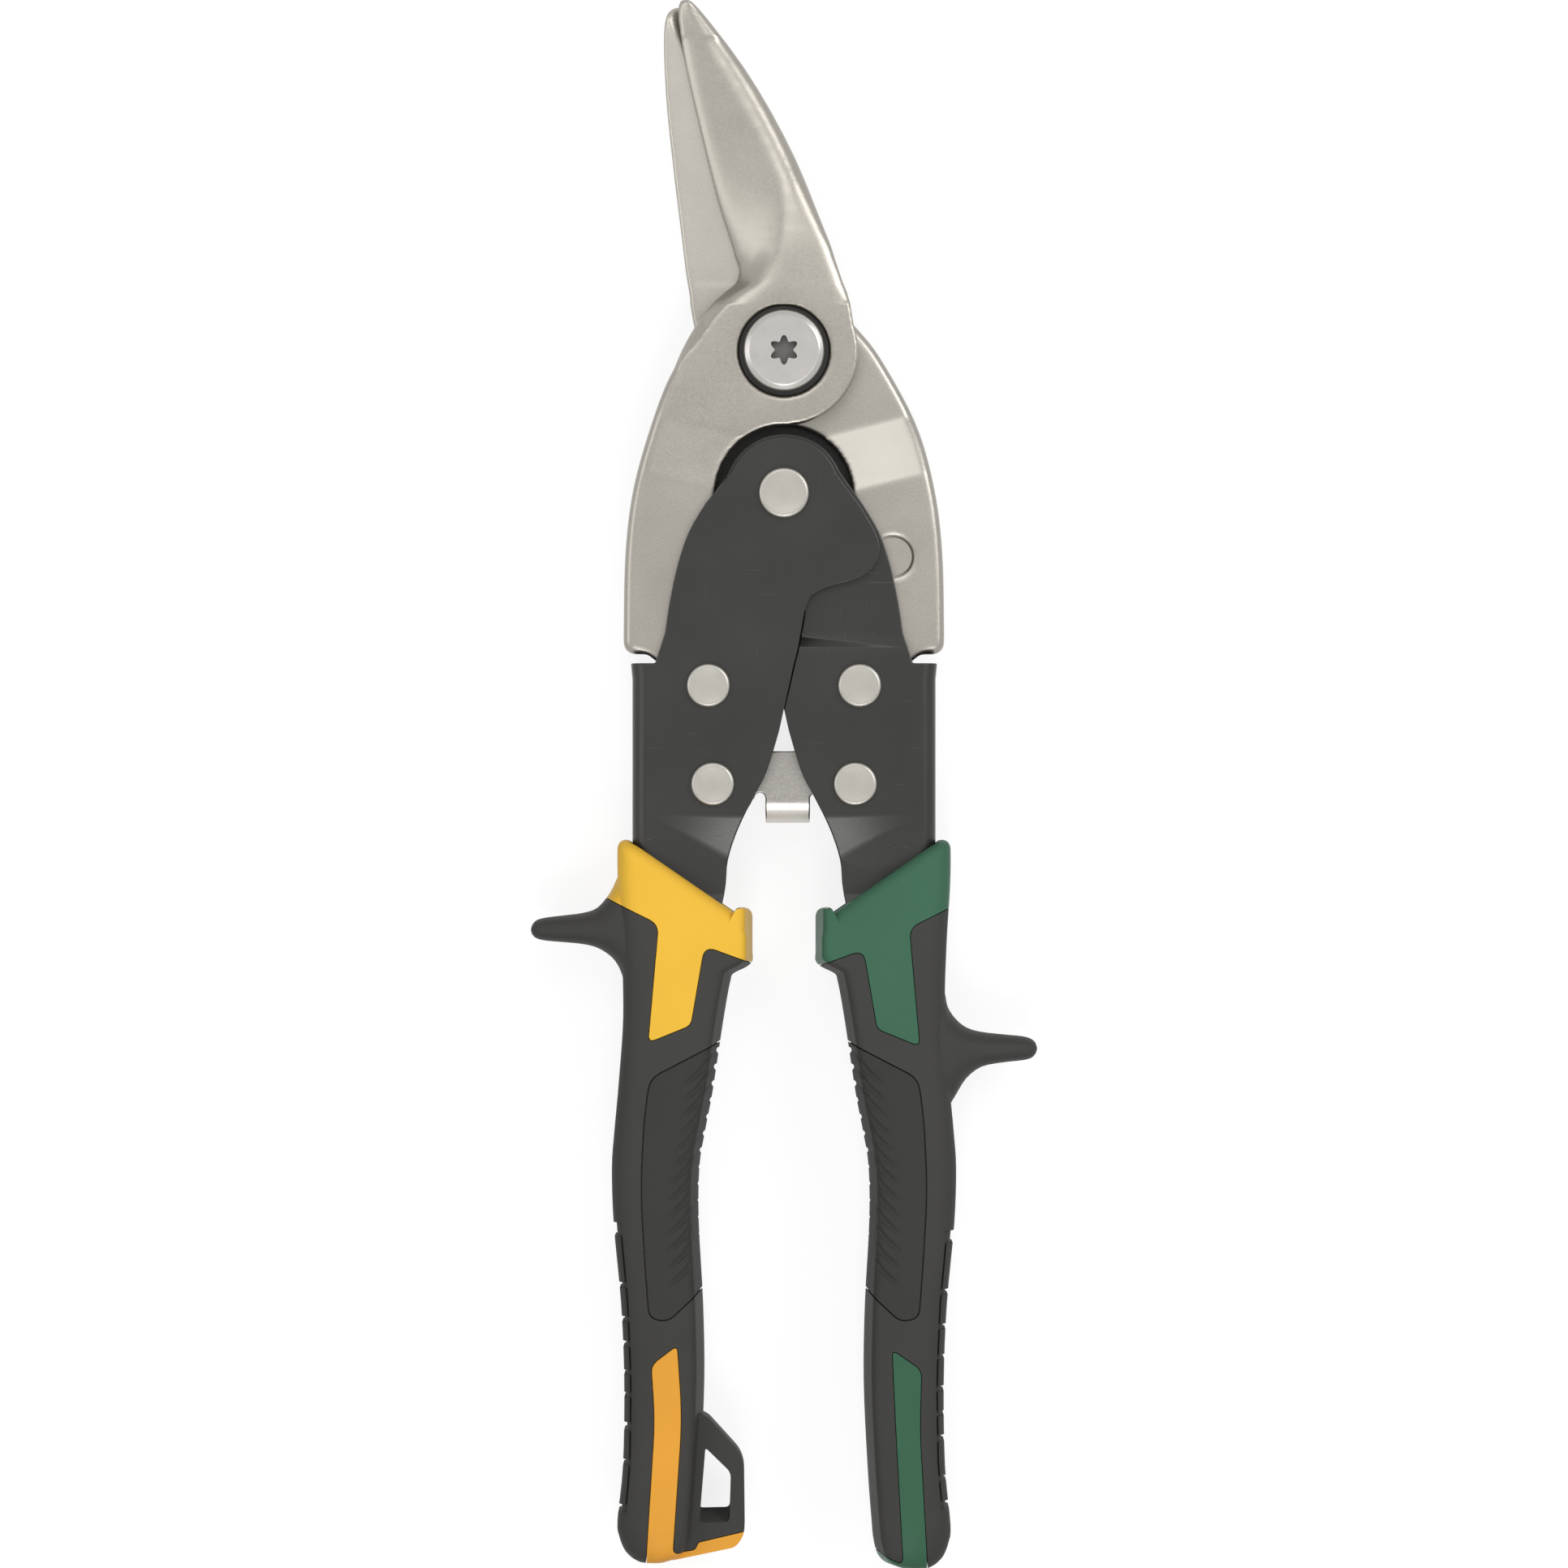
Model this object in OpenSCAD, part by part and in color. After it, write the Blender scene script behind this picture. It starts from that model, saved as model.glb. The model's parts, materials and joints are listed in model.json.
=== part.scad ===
// Compound-leverage aviation snips, closed, drawn as an assembly of named pieces.
// Millimetres. +Y runs to the jaw tips, +X to the green grip, +Z out of the front.
// Every piece is drawn about the middle plane of the tool and placed once at the end.

/* [Linkage] */
// Blade pivot to the jaw tips
jaw_reach = 57; // [50:1:64]
// Blade pivot to the handle rivet
pivot_spacing = 23; // [22.5:0.1:24]
// Handle rivet back to the tang rivets, along the tool
lever_drop = 31.1; // [30:0.1:34]
// Tang rivet to the centre line
tang_rivet_x = 12.2; // [11.5:0.1:12.8]
// Tang rivets back to the latch rivets, along the tool
latch_drop = 15.9; // [15.5:0.1:17]
// Latch rivet to the centre line
latch_rivet_x = 11.5; // [11:0.1:12]
// Latch rivets back to the end of the grips
grip_drop = 127; // [120:1:136]

/* [Blades] */
// Thickness of a blade at the pivot
blade_t = 5.45; // [4.5:0.05:5.8]
// How far the jaws are ground below the pivot boss, front and back
relief = 0.05; // [0.04:0.01:0.1]
// Gap between the two blades at the shear plane
shear_gap = 0.1; // [0.06:0.02:0.2]
// Radius of the eye round the pivot
eye_r = 12; // [11:0.1:12.4]
// Half width over the shanks
shank_x = 25.95; // [25.2:0.05:27]
// Radius of the eye round a tang rivet
tang_eye_r = 6; // [5.4:0.1:6.2]
// Height of the ground land at the cutting edge
edge_land = 1.3; // [0.8:0.1:2]
// Thickness of a jaw at its tip
tip_t = 2.2; // [1.6:0.1:3]
// How far the jaws lie over each other when closed
jaw_overlap = 2.2; // [1:0.1:3]
// Width of the rounding along the back of a jaw
spine_round = 3.8; // [2:0.1:4.2]
// Gap from a shank shoulder to the handle, the stop for opening
shoulder_gap = 1.5; // [1.4:0.1:2.4]
// Slant of the step in a shank, in degrees
step_slant = 14; // [0:1:18]
// Length of the ground facet at the tip of the rear jaw
tip_facet = 7.5; // [4:0.1:9]
// Radius of the round stamped recess
stamp_r = 3.7; // [2.5:0.1:4.5]
// Depth of that recess
stamp_h = 0.3; // [0.2:0.1:0.6]

/* [Pivot bolt] */
// Radius of the bolt
bolt_r = 4; // [3:0.1:4.5]
// Radius of the bolt head
bolt_head_r = 6.55; // [6:0.05:7]
// Height of the bolt head
bolt_head_h = 3.4; // [2.5:0.1:4]
// Radius of the recess round the head
recess_r = 7.4; // [7.2:0.1:8]
// Depth of that recess
recess_h = 1.6; // [1:0.1:2]
// Thickness of the washers
washer_t = 0.6; // [0.4:0.1:0.8]
// Width of the nut across its flats
nut_af = 13; // [11:0.5:14]
// Radius of the six-lobe drive
drive_r = 2.75; // [2.2:0.05:3]

/* [Handles] */
// Thickness of the handle plate
plate_t = 2; // [1.6:0.1:2.2]
// Width inside the handle channel
channel_gap = 9; // [8.6:0.1:10]
// Width over the channel inside the grip
neck_t = 10; // [9:0.5:11]
// How far the open side of each plate is pinched in at the neck
pinch = 3.6; // [2:0.1:4]
// Half width over the two handle channels
web_x = 24.5; // [24:0.1:25]
// How far the web flares out at its top end
web_flare = 0.5; // [0:0.1:0.8]
// Outside radius of the channel bends
bend_r = 2.6; // [2.3:0.1:3.5]
// Radius of the top ear round the handle rivet
ear_r = 9; // [8:0.1:9.3]
// How far the under ear stands out past the top ear
under_ear = 0.6; // [0:0.1:0.8]
// Gap between the two handles along the seam
seam_gap = 0.2; // [0.2:0.05:0.6]
// Length of handle inside the grip
tang_in_grip = 62; // [45:1:66]

/* [Rivets] */
// Radius of the handle rivet
handle_rivet_r = 3; // [2.5:0.1:3.2]
// Radius of its heads
handle_head_r = 4.1; // [3.9:0.1:5]
// Radius of the tang rivets
tang_rivet_r = 2.75; // [2.2:0.05:2.9]
// Radius of the latch rivets
latch_rivet_r = 2.4; // [2:0.05:2.6]
// Radius of the tang and latch rivet heads
rivet_head_r = 3.55; // [3.3:0.05:4]
// Height of a rivet head
rivet_head_h = 1.2; // [0.8:0.1:1.6]
// Radial clearance of a pin in its hole
pin_fit = 0.05; // [0.03:0.01:0.08]
// Extra radial clearance at the last pivot of the linkage
last_pivot_fit = 0.25; // [0.2:0.01:0.3]
// Side play between moving pieces
play = 0.1; // [0.06:0.02:0.15]

/* [Spring] */
// Diameter of the spring wire
wire_d = 1.2; // [0.9:0.05:1.3]
// Mean radius of the coil
coil_r = 6; // [5.6:0.1:6.6]
// Radius of the bush inside the coil
bush_r = 4.6; // [4:0.1:4.8]

/* [Latch] */
// Thickness of the latch plate
latch_t = 2.4; // [2:0.1:2.8]
// Swing from released to hooked, in degrees
latch_swing = 11; // [10.5:0.1:11.5]
// Radius of the latch eye
latch_eye_r = 6.9; // [6.5:0.1:7.1]
// Width of the thumb tab
tab_w = 7.2; // [5.5:0.1:7.4]
// How far the thumb tab reaches back
tab_reach = 7; // [4:0.1:8]

/* [Grips] */
// Depth of a grip from front to back
grip_t = 20; // [19:0.5:22]
// Rounding along the edges of a grip
grip_round = 3.4; // [2.6:0.1:4]
// Thickness of the soft cover
cover_t = 1.8; // [1.4:0.1:2]
// Half width over the hand guards
guard_x = 41; // [37:0.1:46]
// Latch rivets back to the left hand guard
left_guard_drop = 23.6; // [23:0.1:26]
// Latch rivets back to the right hand guard
right_guard_drop = 42.8; // [38:0.1:48]
// Depth of a guard at its tip
guard_tip_t = 9; // [6:0.5:12]
// Slope of the collar mouth, in degrees
collar_slope = 32.2; // [30:0.1:34]
// Depth of the grooves and notches in the cover
groove_h = 0.7; // [0.4:0.1:1]
// Height of the crush ribs round the handle
rib_h = 0.5; // [0.3:0.1:0.8]
// Spacing of the grooves in the palm pad
groove_pitch = 3.3; // [3:0.1:4.5]
// Depth of the lanyard loop
loop_t = 10; // [6:0.5:13]
// Length of the core stripe that shows at the end of a grip
stripe_len = 35.8; // [30:0.1:37]
// Cover left between that stripe and the palm pad
pad_gap = 4.2; // [3:0.1:6]

/* [Output] */
// Piece to draw, or all of them

/* [Hidden] */
$fn = 64;

// Stations along the tool, from the latch rivets
tang_y = latch_drop;
ear_y = tang_y + lever_drop;
pivot_y = ear_y + pivot_spacing;
tip_y = pivot_y + jaw_reach;
pivot = [0, pivot_y];
ear = [0, ear_y];
tang = [-tang_rivet_x, tang_y];
catch = [-latch_rivet_x, 0];
mid_z = grip_t / 2;
frame_y = (grip_drop - tip_y) / 2;

// Levels of the stack, from the middle plane out
plate_in = channel_gap / 2;
plate_out = plate_in + plate_t;
ear_out = plate_in - play;
ear_in = ear_out - plate_t;
tang_front = plate_in - play;
tang_back = play - ear_in;
boss_back = shear_gap / 2;
boss_front = boss_back + blade_t;
head_seat = boss_front - recess_h + washer_t;
nut_seat = boss_front + washer_t;
hollow_r = pivot_spacing - eye_r;
jaw_root = 0.14 * jaw_reach;
jaw_step = 0.191 * jaw_reach;
web_top = tang_y + 3.6;
shoulder_y = web_top + shoulder_gap;
joggle_y = tang_y + 6.1;
crease_y = -4.9;
fold_y = -17.6;
neck_y = -26;
tang_end = -13 - tang_in_grip;
hook_r = latch_rivet_r + 0.3;

// Drawing helpers
function xy(p) = [p[0], p[1]];
function unit(v) = v / norm(v);
function near(a) = a > 180 ? a - 360 : a < -180 ? a + 360 : a;
function arc(c, r, a, b, n = 12) =
  [for (i = [0:n]) c + r * [cos(a + (b - a) * i / n), sin(a + (b - a) * i / n)]];
function flip(p) = [for (i = [len(p) - 1:-1:0]) [p[i].x, -p[i].y]];

// One rounded corner at b, between a and c
function corner(a, b, c, r, n = 5) = r == 0 ? [b] :
  let (u = unit(a - b), v = unit(c - b), h = acos(u * v) / 2)
  let (m = b + unit(u + v) * r / sin(h))
  let (p = b + u * r / tan(h) - m, q = b + v * r / tan(h) - m)
  let (s = atan2(p.y, p.x), t = near(atan2(q.y, q.x) - s))
  arc(m, r, s, s + t, n);

// A closed outline from corners given as [x, y, radius]
function rounded(v) = let (k = len(v))
  [for (i = [0:k - 1]) each corner(xy(v[(i + k - 1) % k]), xy(v[i]), xy(v[(i + 1) % k]), v[i][2])];

// A smooth curve through points of any dimension
function blend(a, b, c, d, t) = 0.5 * (2 * b + (c - a) * t + (2 * a - 5 * b + 4 * c - d) * t * t
  + (3 * b - a - 3 * c + d) * t * t * t);
function curve(p, n = 4) = let (e = len(p) - 1) concat(
  [for (i = [0:e - 1], j = [0:n - 1]) blend(p[max(i - 1, 0)], p[i], p[i + 1], p[min(i + 2, e)], j / n)],
  [p[e]]);

// A solid skinned over equal rings of points, capped at both ends
module skin(rings) {
  n = len(rings[0]);
  e = len(rings) - 1;
  sides = [for (i = [0:e - 1], j = [0:n - 1])
    let (a = i * n + j, b = i * n + (j + 1) % n)
    each [[a, b, b + n], [a, b + n, a + n]]];
  caps = [[for (j = [n - 1:-1:0]) j], [for (j = [0:n - 1]) e * n + j]];
  polyhedron([for (r = rings) each r], concat(sides, caps), convexity = 6);
}

// A slab of an outline between two levels
module slab(outline, low, high) translate([0, 0, low]) linear_extrude(high - low) polygon(outline);

// A strip drawn along the tool as [y, z] and drawn out across it
module side_strip(outline) rotate([90, 0, 90]) translate([0, 0, -60]) linear_extrude(120) polygon(outline);

module ring(c, inner, outer, low, high) translate([c.x, c.y, low]) difference() {
  cylinder(r = outer, h = high - low);
  translate([0, 0, -1]) cylinder(r = inner, h = high - low + 2);
}

module bore(c, r, low = -20, high = 20) translate([c.x, c.y, low]) cylinder(r = r, h = high - low);

module place() translate([0, frame_y, mid_z]) children();
module turned() rotate([0, 180, 0]) children();

// Blades. Both share one shank, drawn as the left-hand one; the rear blade is turned over.
// A jaw row is [share of the jaw reach, cutting edge, ridge, back, share of the spine rounding],
// and for the front jaw the share of the blade's thickness that is left at its outer edge.
front_jaw = [[-0.07, -18.2, -18.15, 7, 0.1, 0.75], [0, -16.6, -15.6, 9, 0.1, 0.7],
  [0.075, -14.2, -12.2, 10, 0.1, 0.6], [0.143, -11.2, -8.8, 10.55, 0.1, 0.5],
  [0.19, -8.1, -4.6, 9.6, 0.15, 0.35], [0.21, -7.4, -3.7, 9.2, 0.2, 0.3], [0.24, -7.3, -2.4, 8.65, 0.25, 0],
  [0.268, -7.9, -1.4, 8.1, 0.3, 0], [0.298, -8.35, -0.7, 7.6, 0.35, 0], [0.36, -9.5, 0, 6.2, 0.48, 0],
  [0.43, -10.75, 0.2, 4.65, 0.65, 0], [0.544, -12.4, 0, 2, 0.9, 0], [0.684, -14.3, -3.6, -2.1, 1, 0],
  [0.807, -15.9, -7.9, -6.4, 0.95, 0], [0.912, -16.9, -11.8, -10.8, 0.7, 0],
  [0.974, -17.2, -14.5, -13.7, 0.4, 0], [1, -16.7, -15.9, -15.3, 0.1, 0]];
front_flank = [[-18.4, -4], [-15.55, 0.05]];
front_root = [[-12.1, 0.075 * jaw_reach], [-8.7, 0.143 * jaw_reach], [-3.9, jaw_step], [8, jaw_step],
  [10.65, jaw_root]];
rear_jaw = [[0.14, -8, -7.8, 15.1, 0.1, 0], [0.204, -1.5, 3, 15.7, 0.2, 0], [0.237, 8.05, 11.5, 16, 0.25, 0],
  [0.298, 8.6, 12.5, 16.4, 0.35, 0], [0.41, 10.4, 13.6, 17.2, 0.5, 0], [0.544, 12.6, 15.2, 18.1, 0.6, 0],
  [0.684, 14.7, 16.9, 18.95, 0.6, 0], [0.807, 16, 17.8, 19.4, 0.5, 0], [0.912, 16.9, 18.1, 19.5, 0.4, 0],
  [0.965, 17.1, 18, 18.9, 0.25, 0], [0.982, 17, 17.2, 17.5, 0.08, 0]];
rear_flank = [[-15.6, -0.9], [-12, 3.7]];
rear_root = [[-8.15, jaw_root], [2.2, jaw_step], [14.7, jaw_step], [15.25, jaw_root], [14.5, 3.7]];

function shank_outline(flank, root, start) = concat(
  arc(pivot, eye_r, start, -90, 24),
  arc(ear, hollow_r, 90, 194, 24),
  arc(tang, tang_eye_r, 6, -196, 16),
  [[-web_x + 3.3, shoulder_y - 0.7], [-web_x + 2.4, shoulder_y]],
  corner([-web_x, shoulder_y], [-shank_x, shoulder_y], [-shank_x, shoulder_y + 9], 1.8),
  curve([[-shank_x, tang_y + 8.5], [0.3 - shank_x, tang_y + 21.6], [1.65 - shank_x, ear_y + 1.1],
    [4.65 - shank_x, ear_y + 11.6], pivot + flank[0], pivot + flank[1]], 5),
  [for (p = root) pivot + p]);

// The shank steps back from the pivot boss to the tang over this slanted stretch
step_mid = [-16, ear_y + 6.6];
step_half = 4.8;
shank_side = [[60, boss_back], [step_half, boss_back], [-step_half, tang_back], [-60, tang_back],
  [-60, tang_front], [-step_half, tang_front], [step_half, boss_front], [60, boss_front]];

// Across a jaw: flat under face, rounded back, then the ground face down to the edge land
function bow(a, k, b, t) = (1 - t) * (1 - t) * a + 2 * t * (1 - t) * k + t * t * b;
function jaw_top(u) = boss_front - relief - (blade_t - tip_t) * max(0, u - 0.3) / 0.7;
function jaw_ring(r, slip) = let (u = r[0], y = pivot_y + u * jaw_reach, z = jaw_top(u), x = r[3])
  let (low = boss_back + relief, land = max(edge_land, r[5] * blade_t))
  let (edge = [r[1] + (u > 0.21 ? slip : 0), low + land], ridge = [r[2], z])
  let (w = r[4] * spine_round, past = w - (x - r[2]))
  let (top = past > 0 ? ridge + unit(edge - ridge) * past : [x - w, z])
  let (fold = past > -0.3 ? top + unit(edge - top) * 0.3 : ridge)
  let (foot = [x, z - min(w, 0.75 * (z - low))])
  [for (p = concat([[edge.x, low], [x, low]],
    [for (t = [0:0.25:1]) bow(foot, [x, z], top, t)], [fold, edge])) [p.x, y, p.y]];

module blade(jaw, outline, slip, tang_fit) difference() {
  union() {
    intersection() {
      slab(outline, -10, 10);
      translate(step_mid) rotate(-step_slant) side_strip(shank_side);
    }
    skin([for (r = curve(jaw, 2)) jaw_ring(r, slip)]);
  }
  bore(pivot, bolt_r + pin_fit);
  bore(tang, tang_rivet_r + tang_fit);
}

module front_blade() color("#b4ada4") place() difference() {
  blade(front_jaw, shank_outline(front_flank, front_root, 20), 0, pin_fit);
  bore(pivot, recess_r, boss_front - recess_h, boss_front + 5);
}

// The rear blade has a bare round recess stamped in the face of its shank, and a ground tip
module rear_blade() color("#bab6ae") place() difference() {
  turned() blade(rear_jaw, shank_outline(rear_flank, rear_root, -10), -jaw_overlap, last_pivot_fit);
  bore([17.6, ear_y - 10.2], stamp_r, -tang_back - stamp_h, plate_out);
  translate([-16.8, tip_y - tip_facet, -boss_back]) rotate([0, 0, 118]) rotate([20, 0, 0])
    translate([-5, -12, 0]) cube([20, 12, 5]);
}

// Pivot
module pivot_bolt() color("#c8c5c0") place() translate([0, pivot_y, 0]) {
  difference() {
    rotate_extrude() polygon([[0, 0.2 - mid_z], [bolt_r - 0.5, 0.2 - mid_z], [bolt_r, 0.7 - mid_z],
      [bolt_r, head_seat], [bolt_head_r, head_seat], [bolt_head_r, head_seat + bolt_head_h - 1],
      [bolt_head_r - 0.8, head_seat + bolt_head_h], [0, head_seat + bolt_head_h]]);
    translate([0, 0, head_seat + 0.6]) linear_extrude(bolt_head_h)
      polygon([for (a = [0:6:354]) drive_r * (0.82 + 0.18 * cos(6 * a)) * [cos(a), sin(a)]]);
  }
}

module pivot_washer() color("#1d1d1d") place()
  ring(pivot, bolt_r + pin_fit, recess_r - pin_fit, head_seat - washer_t, head_seat);

module nut_washer() color("#2a2a2a") place()
  ring(pivot, bolt_r + pin_fit, nut_af / 2 + 1.2, -nut_seat, -boss_front);

module pivot_nut() color("#b9b6b0") place() difference() {
  intersection() {
    translate([0, pivot_y, -mid_z]) cylinder(r = nut_af / sqrt(3), h = mid_z - nut_seat, $fn = 6);
    translate([0, pivot_y, -mid_z]) cylinder(r1 = nut_af / 2, r2 = nut_af / 2 + 7, h = 12);
  }
  bore(pivot, bolt_r + pin_fit);
}

// Handles. Both are the same stamping, drawn as the left-hand one and turned over.
// Along the front the left plate laps the right one; at the back it is the other way round.
flank_curve = [[5.3 - web_x, tang_y + 8.5], [6.1 - web_x, tang_y + 13.8], [-17.1, ear_y - 11.4],
  [-15.3, ear_y - 6.2], [-12.6, ear_y - 1.6]];
seam_curve = [[3.4, ear_y - 19.1], [2.4, tang_y + 6.3], [1.5, tang_y + 2.6], [0, tang_y - 4.1]];
throat_curve = [[-0.8, 8.6], [-2.8, 2], [-4.8, -1.9], [-7.4, -7.2], [-9.1, -12.4], [-9.7, -18],
  [-12.5, -30], [-16.2, -46]];
function seam(side) = [for (p = curve(seam_curve)) [side * p.x - seam_gap / 2, p.y]];
foot = concat(curve(throat_curve), corner([-17, 0], [-17, tang_end], [-20, tang_end], 2),
  corner([-20, tang_end], [1.1 - web_x, tang_end], [1.1 - web_x, 0], 2), [[1.1 - web_x, -28], [-web_x, -12]]);
flank_edge = concat([[-web_x - web_flare, web_top], [3.7 - web_x, web_top]], curve(flank_curve));
top_plate = concat(flank_edge, arc(ear, ear_r, 158, 20, 24),
  curve([[12.4, ear_y - 2.2], [14.7, ear_y - 6.2], [15.4, ear_y - 8.8], [14.7, ear_y - 11.5],
    [12, ear_y - 13.8], [7, ear_y - 15.2], [4.4, ear_y - 16.6]]), seam(1), foot);
under_plate = concat(flank_edge, arc(ear, ear_r + under_ear, 158, -62, 30), seam(-1), foot);

// A station is [y, outer face of the web, front, back, reach across the channel, pinch there]
channel_rows = [[ear_y + 14, web_x + web_flare, plate_out, ear_out, 20, 0],
  [joggle_y + 2, web_x + web_flare, plate_out, ear_out, 20, 0],
  [joggle_y, web_x + web_flare, plate_out, plate_out, 20, 0],
  [web_top - 2.6, web_x, plate_out, plate_out, 20, 0], [crease_y, web_x, plate_out, plate_out, 20, 0],
  [fold_y, web_x, plate_out, plate_out, 0, pinch], [neck_y, web_x - 0.8, neck_t / 2, neck_t / 2, 0, 0],
  [tang_end - 4, web_x - 1.1, neck_t / 2, neck_t / 2, 0, 0]];

// Half of the channel section, from the middle plane to one plate
function half_ring(row, side, t) = let (x = t - row[1], top = row[side] - t, far = row[4])
  let (low = t > 0 ? -1 : 0, end = [far, top - row[5]])
  [for (p = concat([end, [far, low], [x, low]], corner([x, low], [x, top], end, bend_r - t)))
    [p.x, row[0], p.y]];

module half_channel(side, t) skin([for (r = channel_rows)
  half_ring(r + (t > 0 && r == channel_rows[0] ? [1, 0, 0, 0, 0, 0] : [0, 0, 0, 0, 0, 0]), side, t)]);

module half_plate(outline, side) intersection() {
  difference() {
    half_channel(side, 0);
    half_channel(side, plate_t);
  }
  slab(outline, -1, 20);
}

module handle() difference() {
  union() {
    half_plate(top_plate, 2);
    mirror([0, 0, 1]) half_plate(under_plate, 3);
  }
  bore(ear, handle_rivet_r + pin_fit);
  bore(tang, tang_rivet_r + pin_fit);
  bore(catch, latch_rivet_r + pin_fit);
}

module left_handle() color("#45443f") place() handle();
module right_handle() color("#444341") place() turned() handle();

// Rivets
module rivet(c, shank, head) translate([c.x, c.y, 0]) {
  top = plate_out + rivet_head_h;
  rotate_extrude() polygon([[0, -top], [head - 0.6, -top], [head, 0.5 - top], [head, -plate_out],
    [shank, -plate_out], [shank, plate_out], [head, plate_out], [head, top - 0.5], [head - 0.6, top],
    [0, top]]);
}

module handle_rivet() color("#b7b3ad") place() rivet(ear, handle_rivet_r, handle_head_r);
module left_tang_rivet() color("#bbb7ae") place() rivet(tang, tang_rivet_r, rivet_head_r);
module right_tang_rivet() color("#bbb7ae") place() turned() rivet(tang, tang_rivet_r, rivet_head_r);
module left_latch_rivet() color("#bbb7ae") place() rivet(catch, latch_rivet_r, rivet_head_r);
module right_latch_rivet() color("#bbb7ae") place() turned() rivet(catch, latch_rivet_r, rivet_head_r);

module tang_spacer()
  ring(tang, tang_rivet_r + pin_fit, tang_rivet_r + 2.2, play - plate_in, tang_back - play);
module left_tang_spacer() color("#6f6d69") place() tang_spacer();
module right_tang_spacer() color("#6f6d69") place() turned() tang_spacer();

module spring_bush() color("#77756f") place()
  ring(ear, handle_rivet_r + pin_fit, bush_r, play - ear_in, ear_in - play);

// Return spring: one wire up the left leg, round the bush and down the right leg
spring_turns = 2.5;
spring_rise = 2 * (ear_in - play) - wire_d;
spring_path = concat(
  [[-6.7, ear_y - 19, -spring_rise / 2], [-coil_r - 0.1, ear_y - 4, -spring_rise / 2]],
  [for (i = [0:30]) let (a = 180 - 360 * spring_turns * i / 30)
    [coil_r * cos(a), ear_y + coil_r * sin(a), spring_rise * (i / 30 - 0.5)]],
  [[coil_r + 0.1, ear_y - 4, spring_rise / 2], [6.7, ear_y - 19, spring_rise / 2]]);
function wire_ring(i) = let (e = len(spring_path) - 1)
  let (t = unit(spring_path[min(i + 1, e)] - spring_path[max(i - 1, 0)]))
  let (s = unit(cross(t, [0, 0, 1])), w = cross(s, t))
  [for (a = [0:60:300]) spring_path[i] + wire_d / 2 * (cos(a) * s + sin(a) * w)];

module return_spring() color("#8f8d88") place()
  skin([for (i = [0:len(spring_path) - 1]) wire_ring(i)]);

// Latch, drawn released; hooked, it is turned by the swing about its rivet
hook = catch + 2 * latch_rivet_x * [cos(latch_swing), sin(latch_swing)];
latch_top = tang_y - tang_eye_r - 0.5;
hook_tip = latch_rivet_r + 2.3;
tab_x = 0.6;
bend_y = -2.6;
latch_outline = concat(rounded([[-9, 6.4, 0], [-2.4, 5.3, 3], [2.4, 5.3, 4], [7.6, latch_top, 3],
  [hook.x + hook_r + 3.4, latch_top, 1.6], [hook.x + hook_r + 3.4, hook_tip, 0.8],
  [hook.x + hook_r, hook_tip, 0.4]]),
  arc(hook, hook_r, 0, 180, 14),
  [[hook.x - hook_r, hook.y - 3.5], [6.6, bend_y], [5.4, bend_y]],
  arc([tab_x + tab_w / 2 + 0.6, bend_y + 0.3], 0.6, 0, 180, 6),
  [[tab_x + tab_w / 2, bend_y - 0.2], [tab_x - tab_w / 2, bend_y - 0.2]],
  arc([tab_x - tab_w / 2 - 0.9, bend_y + 0.3], 0.9, 0, 180, 6), [[-8, -5.2]]);

module latch() color("#aca9a3") place() difference() {
  union() {
    slab(latch_outline, -latch_t / 2, latch_t / 2);
    bore(catch, latch_eye_r, -latch_t / 2, latch_t / 2);
    translate([tab_x - tab_w / 2, bend_y, -latch_t / 2 - 1.3]) rotate([90, 0, 90])
      linear_extrude(tab_w) polygon(concat(arc([0, 0], 1.3 + latch_t, 90, 180, 8),
        [[-1.3 - latch_t, latch_t / 2 + 1.3 - tab_reach], [-1.3, latch_t / 2 + 1.3 - tab_reach]],
        arc([0, 0], 1.3, 180, 90, 8)));
  }
  bore(catch, latch_rivet_r + pin_fit);
}

module latch_spacer()
  ring(catch, latch_rivet_r + pin_fit, latch_rivet_r + 2, latch_t / 2 + play, plate_in - play);
module front_latch_spacer() color("#6f6d69") place() latch_spacer();
module back_latch_spacer() color("#6f6d69") place() mirror([0, 0, 1]) latch_spacer();

// Grips, drawn as the right-hand one; the left one is mirrored.
// A station is [share of the grip drop, inner side, outer side, share of the half depth].
grip_rows = curve([[0.05, 5, 27.1, 1], [0.12, 5, 27.1, 1], [0.205, 5, 26.6, 1], [0.243, 7.6, 26.2, 0.98],
  [0.31, 10, 26, 0.95], [0.39, 11.6, 26.9, 0.98], [0.49, 13.7, 27.8, 1], [0.56, 13.8, 27.4, 1],
  [0.66, 13.1, 26.3, 1], [0.76, 12.9, 25.8, 1], [0.87, 13.5, 26, 1], [0.945, 14.1, 26.8, 0.97],
  [0.98, 14.9, 25.6, 0.88], [1, 18, 23, 0.62]], 2);

function grip_ring(r, t) = let (y = max(r[0] * grip_drop - (r[0] > 0.9 ? t : 0), 0))
  let (a = r[1] + t, b = r[2] - t, h = min(r[3], 1) * mid_z - t)
  let (c = max(min(grip_round, (b - a) * 0.35) - t, 0.4))
  let (n = t > 0 ? 2 : 3)
  [for (p = concat(corner([a, 0], [a, h], [b, h], c, n), corner([a, h], [b, h], [b, -h], c, n),
    corner([b, h], [b, -h], [a, -h], c, n), corner([b, -h], [a, -h], [a, 0], c, n))) [p.x, -y, p.y]];

module grip_form(t) skin([for (r = grip_rows) grip_ring(r, t)]);

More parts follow.
